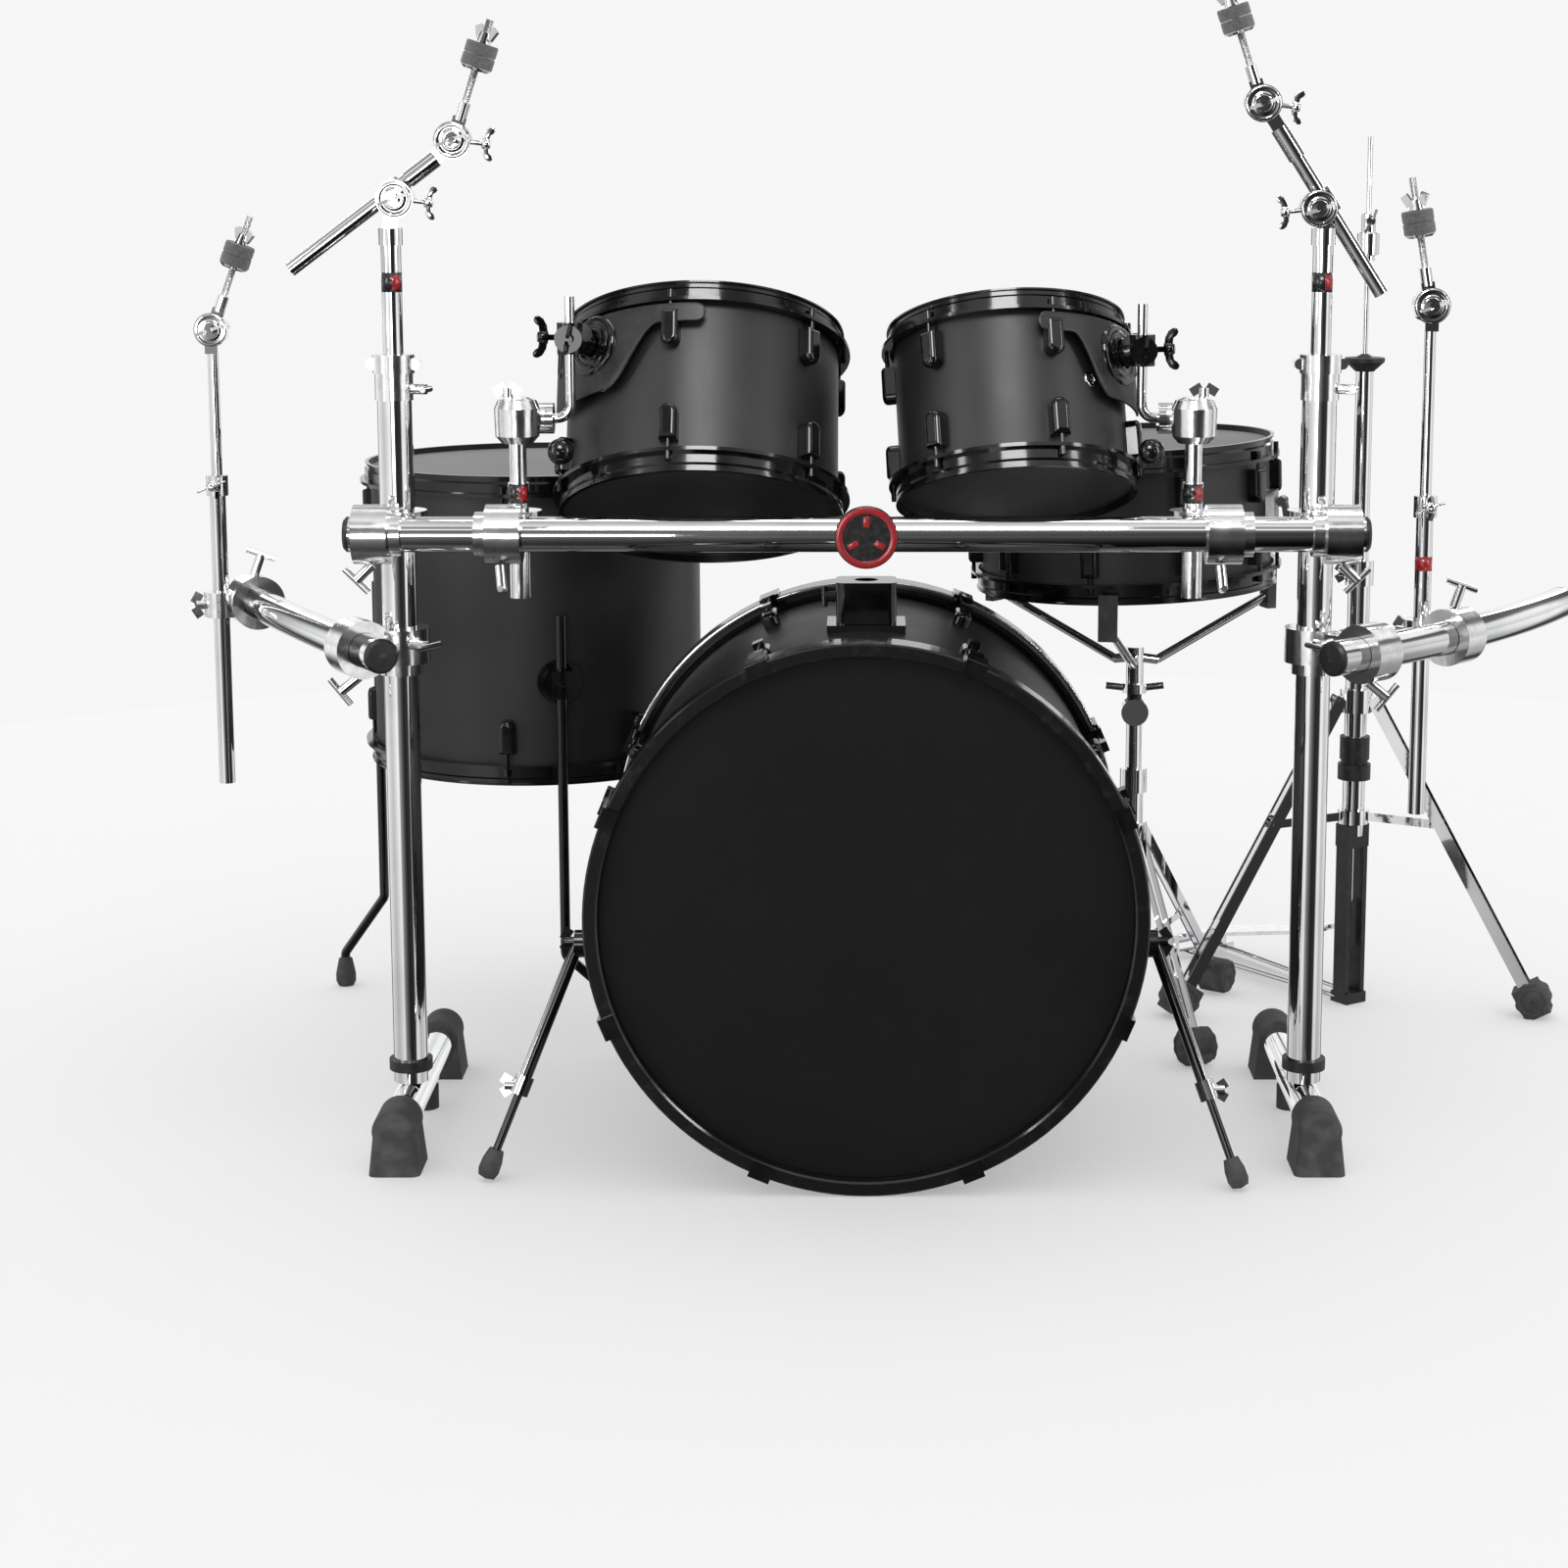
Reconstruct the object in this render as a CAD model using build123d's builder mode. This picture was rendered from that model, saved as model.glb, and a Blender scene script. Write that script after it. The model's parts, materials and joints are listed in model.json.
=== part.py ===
from build123d import *

import os
from math import cos, radians, sin

os.makedirs("parts", exist_ok=True)

# Drum kit on a pipe rack. While it is modelled, X = 0 is the bass drum's middle, Y = 0 the face of
# its front hoop with +Y towards the drummer, and Z = 0 the floor. It is centred when it is written.

# Fits
hinge_gap = 0.3  # between two ratchet faces
slide_gap = 0.4  # between a sliding tube and its bushing
hole_gap = 0.4  # round a tension rod
seat_gap = 0.05  # inside a clamp, round its tube

# Rack pipes
pipe_radius = 19.05
pipe_wall = 2.0
rack_shift = -10.0
rack_half_width = 500.0
upright_y = 200.0
upright_top = 828.0
foot_height = 46.0
foot_front, foot_back = 72.0, 452.0
clamp_offset = 60.0
clamp_radius = 32.0
clamp_width = 38.0
bar_height = 689.0
bar_overhang = 42.0
side_height = 560.0
corner_outset = 18.0

# Boom stands on the rack
post_radius = 11.1
post_top = 1010.0
joint_radius = 20.0
joint_thick = 9.0
bolt_radius = 3.6
boom_radius = 8.0
cymbal_rod_radius = 4.0
felt_radius = 17.5
felt_height = 13.0

# Straight cymbal arms
arm_radius = 9.5
arm_bore = 8.0
arm_rod_radius = 6.5

# Drums: shell radius, shell length
shell_wall = 7.0
bass_radius, bass_length = 279.4, 457.2
bass_hoop_radius = bass_radius + 17.6
bass_centre_z = bass_hoop_radius  # the hoops rest on the floor
bass_proud = 16.4
left_radius, left_length = 152.4, 203.2
right_radius, right_length = 127.0, 184.0
floor_radius, floor_length = 203.2, 355.6
snare_radius, snare_length = 177.8, 165.1
lug_depth = 16.0
rod_radius = 2.4
rod_circle = 9.6  # tension rods' axis beyond the shell

# Where the drums stand: centre, tilt to the drummer, turn
left_centre, left_tilt, left_turn = (-184.0, 330.0, 787.0), 26.0, 0.0
right_centre, right_tilt, right_turn = (161.0, 292.0, 806.0), 22.0, -8.0
floor_centre = (-412.0, 675.0, 530.0)
snare_centre = (318.0, 625.0, 657.0)
snare_lean = 2.0

tom_post_y = upright_y
tom_post_radius = 11.1
tom_rod_radius = 5.5
tom_axis_z = 806.0

spur_hinge_height = 246.0
spur_hinge_y = 112.0
spur_radius = 7.0

leg_radius = 6.0
floor_leg_gap = 14.0  # from the shell to a floor-tom leg's surface

stand_centre = (335.0, 640.0)
stand_reach = 190.0
hihat_centre = (628.0, 735.0)
hihat_reach = 233.0
heel_centre = (458.0, 985.0)

on_base = (Align.CENTER, Align.CENTER, Align.MIN)


def rod(start, end, radius, mode=Mode.ADD):
    """A round bar from one point to another."""
    way = Vector(end) - Vector(start)
    with Locations(Plane(origin=start, z_dir=way)):
        Cylinder(radius, way.length, align=on_base, mode=mode)


def pipe(start, end, radius, bore):
    """A round tube from one point to another."""
    way = Vector(end) - Vector(start)
    with BuildSketch(Plane(origin=start, z_dir=way)) as section:
        Circle(radius)
        Circle(bore, mode=Mode.SUBTRACT)
    extrude(section.sketch, amount=way.length)


def turned(place, outline):
    """A closed outline of (radius, height) points turned about a place's own axis."""
    with BuildSketch(Plane(origin=place.origin, x_dir=place.x_dir, z_dir=-place.y_dir)) as section:
        with BuildLine():
            Polyline(*outline, close=True)
        make_face()
    revolve(section.sketch, axis=Axis(place.origin, place.z_dir))


def block(place, size, mode=Mode.ADD, align=(Align.CENTER, Align.CENTER, Align.CENTER)):
    """A rectangular block in a place's own directions."""
    with Locations(place):
        Box(*size, align=align, mode=mode)


def along(start, way, distance):
    """The point at a distance from a start."""
    return Vector(start) + Vector(way).normalized() * distance


def wing(place, reach=15.0):
    """A wing nut or wing bolt whose screw is the place's z axis."""
    with Locations(place):
        Cylinder(5.5, 11, align=on_base)
    for side in (-1, 1):
        ear = place * Location((side * (reach * 0.55), 0, 9), (0, side * 32, 0))
        with Locations(ear):
            Box(reach * 0.9, 3.6, 10)


def tee_key(place, length=30.0, bar=36.0):
    """A clamp bolt with a sliding tee bar."""
    with Locations(place):
        Cylinder(5.5, length, align=on_base)
    with Locations(place * Location((0, 0, length), (0, 90, 0))):
        Cylinder(3.4, bar)


def pair_clamp(first, first_way, second, second_way, first_size, second_size):
    """Two pipe rings cast in one piece. A size is (outside radius, width, bore)."""
    between = Vector(second) - Vector(first)
    middle = (Vector(first) + Vector(second)) / 2
    web = Plane(origin=middle, x_dir=between, z_dir=between.cross(Vector(second_way)))
    web_width = min(first_size[1], second_size[1]) - 6
    block(web, (between.length, web_width, web_width))
    for point, way, (outer, width, _) in ((first, first_way, first_size), (second, second_way, second_size)):
        start = Vector(point) - Vector(way).normalized() * width / 2
        rod(start, along(start, way, width), outer)
    for point, way, (_, width, bore) in ((first, first_way, first_size), (second, second_way, second_size)):
        start = Vector(point) - Vector(way).normalized() * width
        rod(start, along(start, way, 2 * width), bore, Mode.SUBTRACT)


def drum_place(centre, tilt, turn):
    """The place of a drum whose batter head leans to the drummer by tilt, swung sideways by turn."""
    flat = sin(radians(tilt))
    lean = Vector(flat * sin(radians(turn)), flat * cos(radians(turn)), cos(radians(tilt)))
    return Plane(origin=centre, x_dir=Vector(0, -1, 0).cross(lean) * -1, z_dir=lean)


def flipped(place):
    """The same place upside down, for what sits on a drum's other end."""
    return Plane(origin=place.origin, x_dir=place.x_dir, z_dir=-place.z_dir)


def shell(place, radius, length):
    """A drum's hollow shell, open at both ends."""
    half = length / 2
    inner = radius - shell_wall
    turned(place, [(inner, -half + 3), (radius - 1, -half), (radius, -half + 1), (radius, half - 1),
                   (radius - 1, half), (inner, half - 3)])


def head(place, radius, length):
    """A head's film with its flesh hoop over the shell's edge."""
    top = length / 2
    turned(place, [(0, top), (radius + 0.5, top), (radius + 0.5, top - 9), (radius + 3.6, top - 9),
                   (radius + 3.6, top - 1), (radius + 1.6, top - 1), (radius + 1.6, top + 0.9),
                   (0, top + 0.9)])


def hoop(place, radius, length, rods, phase):
    """A flanged hoop, with a hole for each tension rod."""
    top = length / 2
    turned(place, [(radius + 2, top - 1), (radius + 2, top + 8), (radius + 6.6, top + 8),
                   (radius + 6.6, top + 6), (radius + 4.2, top + 6), (radius + 4.2, top + 1),
                   (radius + 5.8, top - 1.5), (radius + 5.8, top - 13), (radius + 13.4, top - 13),
                   (radius + 13.4, top - 17), (radius + 4, top - 17), (radius + 4, top - 1)])
    for index in range(rods):
        turn = radians(phase + 360 * index / rods)
        at = Location((((radius + rod_circle) * cos(turn)), (radius + rod_circle) * sin(turn), top - 15))
        with Locations(place * at):
            Cylinder(rod_radius + hole_gap, 8, mode=Mode.SUBTRACT)


with BuildPart() as lug_pattern:
    # One lug: x points out of the shell, z to the head it pulls on, with the shell's surface at x = 0
    with BuildSketch(Plane.YZ.offset(0.05)):
        with BuildLine():
            Line((-10, 15), (10, 15))
            Line((10, 15), (10, -16))
            TangentArc((10, -16), (-10, -16), tangent=(0, -1))
            Line((-10, -16), (-10, 15))
        make_face()
    extrude(amount=lug_depth)
    fillet(lug_pattern.faces().sort_by(Axis.X)[-1].edges(), 5.5)


def lugs(place, radius, length, rods, phase, inset, skip=()):
    """Lugs near one end of a shell, each with its tension rod up to the hoop."""
    top = length / 2
    spots = [phase + 360 * index / rods for index in range(rods) if index not in skip]
    for spot in spots:
        frame = place * Location((0, 0, 0), (0, 0, spot))
        with Locations(frame * Location((radius, 0, top - inset))):
            add(lug_pattern.part)
        with Locations(frame * Location((radius + rod_circle, 0, top - inset + 4))):
            Cylinder(rod_radius + hole_gap, 24, align=on_base, mode=Mode.SUBTRACT)
    for spot in spots:
        frame = place * Location((0, 0, 0), (0, 0, spot))
        with Locations(frame * Location((radius + rod_circle, 0, top - inset + 6))):
            Cylinder(rod_radius, inset - 6 - 13, align=on_base)
        with Locations(frame * Location((radius + rod_circle, 0, top - 13))):
            Cylinder(3.6, 9, align=on_base)


def drum_lugs(place, radius, length, rods, phase, inset):
    """Lugs and rods for both heads, lined up along the shell."""
    lugs(place, radius, length, rods, phase, inset)
    lugs(flipped(place), radius, length, rods, -phase, inset)


kit = {}

# ---------------------------------------------------------------- rack
rack_x = (rack_shift - rack_half_width, rack_shift + rack_half_width)
bar_y = upright_y - clamp_offset
collar_radius = 26.0

with BuildPart() as rack_uprights:
    for x in rack_x:
        pipe((x, upright_y, foot_height + pipe_radius), (x, upright_y, upright_top), pipe_radius,
             pipe_radius - pipe_wall)
kit["rack_uprights"] = rack_uprights

with BuildPart() as rack_feet:
    for x in rack_x:
        pipe((x, foot_front, foot_height), (x, foot_back, foot_height), pipe_radius, pipe_radius - pipe_wall)
        rod((x, upright_y, foot_height + pipe_radius), (x, upright_y, foot_height + 50), pipe_radius + 0.1,
            Mode.SUBTRACT)
kit["rack_feet"] = rack_feet

boot_half, boot_length, boot_height = 28.0, 62.0, 72.0
with BuildPart() as boot_pattern:
    # One end boot: y runs from its closed end along the foot pipe, with the floor at z = 0
    with BuildSketch(Plane.XZ):
        with BuildLine():
            Line((-boot_half, 0), (boot_half, 0))
            Line((boot_half, 0), (boot_half - 5, 42))
            ThreePointArc((boot_half - 5, 42), (0, boot_height), (5 - boot_half, 42))
            Line((5 - boot_half, 42), (-boot_half, 0))
        make_face()
    extrude(amount=-boot_length)
    fillet(boot_pattern.faces().sort_by(Axis.Y)[0].edges().sort_by(Axis.Z)[1:], 9)
    rod((0, 12, foot_height), (0, boot_length + 1, foot_height), pipe_radius + seat_gap, Mode.SUBTRACT)

with BuildPart() as rack_boots:
    for x in rack_x:
        with Locations(Location((x, foot_front - 12, 0)), Location((x, foot_back + 12, 0), (0, 0, 180))):
            add(boot_pattern.part)
        pad_top = foot_height - pipe_radius
        with Locations((x, upright_y + 100, 0)):
            Cylinder(15, pad_top - 0.05, align=on_base)
kit["rack_boots"] = rack_boots

bar_ends = (rack_x[0] - bar_overhang, rack_x[1] + bar_overhang)
with BuildPart() as rack_bar:
    pipe((bar_ends[0], bar_y, bar_height), (bar_ends[1], bar_y, bar_height), pipe_radius,
         pipe_radius - pipe_wall)
kit["rack_bar"] = rack_bar

badge_radius, badge_thick = 33.5, 5.0
with BuildPart() as bar_badge:
    badge_y = bar_y - pipe_radius - 4
    rod((0, badge_y, bar_height), (0, badge_y - badge_thick, bar_height), badge_radius)
    rod((0, badge_y - badge_thick, bar_height), (0, badge_y - badge_thick - 2, bar_height), 4.5)
    rod((-9, bar_y, bar_height), (9, bar_y, bar_height), pipe_radius + 4.5)
    rod((-10, bar_y, bar_height), (10, bar_y, bar_height), pipe_radius + seat_gap, Mode.SUBTRACT)
kit["bar_badge"] = bar_badge

# Side pipes swing outward and back from just in front of each upright
side_ends = ((-748.0, 545.0), (828.0, 500.0))
side_bends = ((-652.0, 352.0), (676.0, 282.0))
side_starts = ((rack_x[0] - 10, 122.0), (rack_x[1] + 8, 106.0))
side_lines = []
for start, bend, end in zip(side_starts, side_bends, side_ends):
    corners = [(*spot, side_height) for spot in (start, bend, end)]
    side_lines.append(Edge.make_three_point_arc(*corners))

with BuildPart() as side_pipes:
    for line in side_lines:
        with BuildSketch(Plane(origin=line @ 0, z_dir=line % 0)) as section:
            Circle(pipe_radius)
            Circle(pipe_radius - pipe_wall, mode=Mode.SUBTRACT)
        sweep(section.sketch, path=line)
kit["side_pipes"] = side_pipes

with BuildPart() as pipe_caps:
    spots = [(line @ 0, (line % 0) * -1) for line in side_lines]
    spots += [(line @ 1, line % 1) for line in side_lines]
    spots += [(Vector(bar_ends[0], bar_y, bar_height), Vector(-1, 0, 0)),
              (Vector(bar_ends[1], bar_y, bar_height), Vector(1, 0, 0))]
    for point, way in spots:
        turned(Plane(origin=point, z_dir=way), [(0, 0), (pipe_radius, 0), (pipe_radius, 3),
                                               (pipe_radius - 3, 6), (0, 7)])
kit["pipe_caps"] = pipe_caps

ring = (clamp_radius, clamp_width, pipe_radius + seat_gap)
bend_ring = (clamp_radius, clamp_width, pipe_radius + 0.35)  # the side pipe curves through it
tom_ring = (25.0, clamp_width, tom_post_radius + seat_gap)
arm_ring = (20.0, 30.0, arm_radius + seat_gap)
tom_post_x = (-378.0, 355.0)
tom_ring_x = (tom_post_x[0] - 9, tom_post_x[1] + 27)


def nearest_on(line, point):
    """How far along a line, from 0 to 1, it passes nearest to an upright, seen from above."""
    steps = [index / 200 for index in range(201)]
    return min(steps, key=lambda step: (Vector(point[0], point[1], side_height) - (line @ step)).length)


side_marks = [nearest_on(line, (x, upright_y)) for line, x in zip(side_lines, rack_x)]
arm_marks = (0.93, 0.42)
arm_offset = pipe_radius + arm_radius + 12
arm_feet = []
for line, mark in zip(side_lines, arm_marks):
    across = (line % mark).cross(Vector(0, 0, 1)).normalized()
    arm_feet.append((line @ mark) + across * -arm_offset)

with BuildPart() as pipe_clamps:
    for x, side in zip(rack_x, (-1, 1)):
        pair_clamp((x + side * corner_outset, bar_y, bar_height), (1, 0, 0),
                   (x, upright_y, bar_height), (0, 0, 1),
                   ring, ring)
    for post_x, ring_x in zip(tom_post_x, tom_ring_x):
        pair_clamp((ring_x, bar_y, bar_height), (1, 0, 0), (post_x, tom_post_y, bar_height), (0, 0, 1),
                   ring, tom_ring)
    for line, mark, x in zip(side_lines, side_marks, rack_x):
        pair_clamp(line @ mark, line % mark, (x, upright_y, side_height), (0, 0, 1), bend_ring, ring)
    for line, mark, foot in zip(side_lines, arm_marks, arm_feet):
        pair_clamp(line @ mark, line % mark, foot, (0, 0, 1), bend_ring, arm_ring)
kit["pipe_clamps"] = pipe_clamps

sleeve_height = 49.0
lock_height, lock_radius = 20.0, 23.0
with BuildPart() as pipe_collars:
    for x, side in zip(rack_x, (-1, 1)):
        # height lock on top of the upright, memory collars and the saddle over the foot pipe
        lock_low = upright_top + sleeve_height - lock_height
        pipe((x, upright_y, upright_top), (x, upright_y, lock_low), lock_radius - 2, post_radius + slide_gap)
        pipe((x, upright_y, lock_low), (x, upright_y, upright_top + sleeve_height), lock_radius,
             post_radius + slide_gap)
        for ear in (-1, 1):
            rod((x + ear * lock_radius, upright_y - 9, lock_low + lock_height / 2),
                (x + ear * lock_radius, upright_y + 9, lock_low + lock_height / 2), 6)
        inner = x + side * corner_outset - side * clamp_width / 2
        pipe((inner, bar_y, bar_height), (inner - side * 13, bar_y, bar_height), 24, pipe_radius + seat_gap)
        low = side_height - clamp_width / 2
        pipe((x, upright_y, low - 13), (x, upright_y, low), 24, pipe_radius + seat_gap)
        pipe((x, upright_y, foot_height + pipe_radius + 14), (x, upright_y, foot_height + pipe_radius + 26),
             pipe_radius + 5, pipe_radius + seat_gap)
    for ring_x, side in zip(tom_ring_x, (-1, 1)):
        outer = ring_x + side * clamp_width / 2
        pipe((outer, bar_y, bar_height), (outer + side * 12, bar_y, bar_height), 24, pipe_radius + seat_gap)
    add(pipe_clamps.part, mode=Mode.SUBTRACT)
kit["pipe_collars"] = pipe_collars

with BuildPart() as clamp_keys:
    for x, side in zip(rack_x, (-1, 1)):
        ring_x = x + side * corner_outset
        bar_spot = (ring_x, bar_y - 6, bar_height - clamp_radius)
        tee_key(Plane(origin=bar_spot, z_dir=(side * 0.7, -0.1, -0.7)), 24)
        # sleeve wings
        lock_spot = (x + lock_radius - 4, upright_y - 5, upright_top + 12)
        tee_key(Plane(origin=lock_spot, z_dir=(1, -0.35, 0)), 18, 18)
    for post_x, ring_x, side in zip(tom_post_x, tom_ring_x, (-1, 1)):
        tee_key(Plane(origin=(ring_x - 4, bar_y - 10, bar_height - clamp_radius), x_dir=(0, 1, 0),
                      z_dir=(0.1, -0.2, -1)), 26, 30)
    for line, mark, x, side in zip(side_lines, side_marks, rack_x, (1, -1)):
        spot = line @ mark
        side_spot = (spot.X, spot.Y, side_height - clamp_radius)
        tee_key(Plane(origin=side_spot, z_dir=(-side * 0.75, -0.1, -0.6)), 26)
        upright_spot = (x + 0.5 * clamp_radius, upright_y - 27, side_height + 4)
        tee_key(Plane(origin=upright_spot, z_dir=(side * 0.9, -0.5, 0)),
                24)
    for line, mark, foot in zip(side_lines, arm_marks, arm_feet):
        spot = line @ mark
        out = (foot - spot).normalized()
        tee_key(Plane(origin=(spot.X, spot.Y, side_height + clamp_radius), z_dir=(0.35, 0.1, 1)), 26)
        wing(Plane(origin=foot + out * 20, x_dir=(0, 0, 1), z_dir=out))
    add(pipe_clamps.part, mode=Mode.SUBTRACT)
    add(pipe_collars.part, mode=Mode.SUBTRACT)
kit["clamp_keys"] = clamp_keys

# ---------------------------------------------------------------- boom stands
# A ratchet joint turns about its place's z axis: fixed plate below z = 0, moving plate above it.


def joint_plate(place, side, way, reach):
    """One ratchet plate and its flat neck. Side is -1 for the fixed plate and 1 for the moving one."""
    low = hinge_gap / 2 if side > 0 else -joint_thick
    thick = joint_thick - hinge_gap / 2
    with Locations(place * Location((0, 0, low))):
        Cylinder(joint_radius, thick, align=on_base)
    neck = Plane(origin=place.origin, x_dir=way, z_dir=place.z_dir)
    with Locations(neck * Location((0, 0, low))):
        Box(reach, 15, thick, align=(Align.MIN, Align.CENTER, Align.MIN))
    if side < 0:
        with Locations(place * Location((0, 0, -joint_thick - 1))):
            Cylinder(bolt_radius + hinge_gap, joint_thick + 1, align=on_base, mode=Mode.SUBTRACT)
    else:
        with Locations(place * Location((0, 0, -joint_thick - 6))):
            Cylinder(bolt_radius, joint_thick + 8, align=on_base)
        out = place.z_dir * -1
        wing(Plane(origin=place.origin + out * (joint_thick + 0.5), x_dir=(1, 0, 0.35), z_dir=out))


def in_plane(place, target):
    """The way from a joint to a target, within the joint's turning plane."""
    way = Vector(target) - place.origin
    return way - place.z_dir * way.dot(place.z_dir)


def cymbal_top(joint, tip, felts_at):
    """A moving plate with the cymbal rod, its washer, two felts and the wing nut."""
    out = in_plane(joint, tip)
    reach = joint_radius + 2
    joint_plate(joint, 1, out, reach + 4)
    middle = joint.origin + joint.z_dir * (joint_thick / 2)
    socket = along(middle, out, reach)
    rod(socket, along(socket, out, 20), 6.5)
    end = along(middle, out, out.length)
    rod(along(socket, out, 18), end, cymbal_rod_radius)
    seat = Plane(origin=along(middle, out, felts_at), z_dir=out)
    rim = cymbal_rod_radius + 0.5
    turned(seat, [(rim, 0), (felt_radius - 4, 0), (felt_radius, 3), (rim, 2.2)])
    for step in range(2):
        low = 3.4 + step * (felt_height + 0.4)
        high = low + felt_height
        turned(seat, [(rim, low), (felt_radius - 1, low), (felt_radius, low + 1.5), (felt_radius, high - 1.5),
                      (felt_radius - 1, high), (rim, high)])
    nut = Plane(origin=along(seat.origin, out, 4.6 + 2 * felt_height), x_dir=(0.8, -0.6, 0), z_dir=out)
    turned(nut, [(rim, 0), (8, 0), (6, 11), (rim, 11)])
    for side in (-1, 1):
        with Locations(nut * Location((side * 10, 0, 11), (0, side * 28, 0))):
            Box(9, 4, 13)


# Each boom: the joint on its post, the rod's two ends, the top joint and the cymbal rod's tip
boom_y = upright_y + 18
top_y = boom_y + joint_thick / 2
boom_joints = ((rack_x[0] + 6, upright_y, 1043.0), (rack_x[1] - 6, upright_y, 1033.0))
boom_lows = ((-622.0, boom_y, 967.0), (557.0, boom_y, 941.0))
boom_highs = ((-462.0, boom_y, 1086.0), (442.0, boom_y, 1118.0))
top_joints = ((-444.0, top_y, 1105.0), (425.0, top_y, 1144.0))
cymbal_tips = ((-402.0, top_y, 1232.0), (381.0, top_y, 1276.0))
to_back = dict(x_dir=(1, 0, 0), z_dir=(0, 1, 0))
hand = ("left", "right")

for index, name in enumerate(hand):
    x = rack_x[index]
    joint, low, high = boom_joints[index], boom_lows[index], boom_highs[index]
    hinge = Plane(origin=joint, **to_back)
    top_hinge = Plane(origin=top_joints[index], **to_back)
    with BuildPart() as boom_post:
        pipe((x, upright_y, upright_top - 150), (x, upright_y, post_top), post_radius, post_radius - 1.6)
        rod((x, upright_y, post_top - 16), (x, upright_y, post_top + 2), post_radius + 2)
        foot = (x, upright_y, post_top)
        joint_plate(hinge, -1, in_plane(hinge, foot), in_plane(hinge, foot).length)
    kit[f"boom_post_{name}"] = boom_post

    way = Vector(high) - Vector(low)
    mark = Vector(low) + way.normalized() * (Vector(joint) - Vector(low)).dot(way.normalized())
    with BuildPart() as boom:
        rod(low, high, boom_radius)
        rod(along(high, -way, 38), high, boom_radius + 1.6)
        rod(low, along(low, way, 60), boom_radius - 1.6, Mode.SUBTRACT)
        rod(along(mark, -way, 14), along(mark, way, 14), 12.5)
        joint_plate(hinge, 1, mark - Vector(joint), 12)
        block(Plane(origin=(mark.X, upright_y + 10, mark.Z), x_dir=way, z_dir=(0, 1, 0)), (22, 18, 8))
        joint_plate(top_hinge, -1, in_plane(top_hinge, high), in_plane(top_hinge, high).length + 4)
    kit[f"boom_{name}"] = boom

    with BuildPart() as boom_top:
        cymbal_top(top_hinge, cymbal_tips[index], 78)
    kit[f"boom_top_{name}"] = boom_top

# Straight arms: the pipe held by the side pipe, the rod that slides in it and the cymbal top
arm_low = (342.0, 352.0)
arm_high = (690.0, 690.0)
arm_joint_z = (886.0, 925.0)
arm_tip_shift = ((48.0, 132.0), (-24.0, 140.0))

with BuildPart() as arm_pipes:
    for foot, low, high in zip(arm_feet, arm_low, arm_high):
        pipe((foot.X, foot.Y, low), (foot.X, foot.Y, high), arm_radius, arm_bore)
        pipe((foot.X, foot.Y, high), (foot.X, foot.Y, high + 24),
             arm_radius + 3.5, arm_rod_radius + slide_gap)
        key = Plane(origin=(foot.X, foot.Y - arm_radius - 2, high + 12), x_dir=(0, 0, 1), z_dir=(0.3, -1, 0))
        wing(key, 12)
        rod((foot.X, foot.Y, high - 20), (foot.X, foot.Y, high + 30),
            arm_rod_radius + slide_gap, Mode.SUBTRACT)
kit["arm_pipes"] = arm_pipes

for index, name in enumerate(hand):
    foot = arm_feet[index]
    joint = (foot.X, foot.Y, arm_joint_z[index])
    hinge = Plane(origin=joint, **to_back)
    with BuildPart() as arm_rod:
        rod((foot.X, foot.Y, arm_high[index] - 120), (foot.X, foot.Y, arm_joint_z[index] - joint_radius - 4),
            arm_rod_radius)
        joint_plate(hinge, -1, (0, 0, -1), joint_radius + 8)
    kit[f"arm_rod_{name}"] = arm_rod
    shift = arm_tip_shift[index]
    with BuildPart() as arm_top:
        cymbal_top(hinge, (foot.X + shift[0], foot.Y, arm_joint_z[index] + shift[1]), 76)
    kit[f"arm_top_{name}"] = arm_top

# ---------------------------------------------------------------- rack toms
tilter_radius = 25.0
tilter_height = 50.0
tom_rod_x = (-322.0, 300.0)
tom_rod_y = upright_y + 24
tom_rod_top = (938.0, 930.0)
tom_places = (drum_place(left_centre, left_tilt, left_turn), drum_place(right_centre, right_tilt, right_turn))
tom_sizes = ((left_radius, left_length), (right_radius, right_length))
tom_rods = (6, 6)
tom_phases = (-40.0, -130.0)
tom_clamp_z = (893.0, 880.0)

with BuildPart() as tom_posts:
    for x, side in zip(tom_post_x, (1, -1)):
        pipe((x, tom_post_y, 612), (x, tom_post_y, 738), tom_post_radius, tom_post_radius - 2)
        rod((x, tom_post_y, 738), (x, tom_post_y, tom_axis_z - 20), tom_post_radius - 1.6)
        turned(Plane(origin=(x, tom_post_y, tom_axis_z - tilter_height / 2), z_dir=(0, 0, 1)),
               [(0, 0), (tilter_radius - 8, 0), (tilter_radius - 1, 8), (tilter_radius, tilter_height - 12),
                (tilter_radius - 4, tilter_height - 3), (tilter_radius - 12, tilter_height),
                (0, tilter_height)])
        plate_x = x + side * (tilter_radius + 4)
        rod((x + side * 6, tom_rod_y, tom_axis_z), (plate_x, tom_rod_y, tom_axis_z), 17)
        rod((plate_x - side * 14, tom_rod_y, tom_axis_z), (plate_x + side, tom_rod_y, tom_axis_z),
            bolt_radius + hinge_gap, Mode.SUBTRACT)
        wing(Plane(origin=(x - side * 10, tom_post_y, tom_axis_z + tilter_height / 2 - 1), z_dir=(0, 0, 1)))
kit["tom_posts"] = tom_posts

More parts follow.
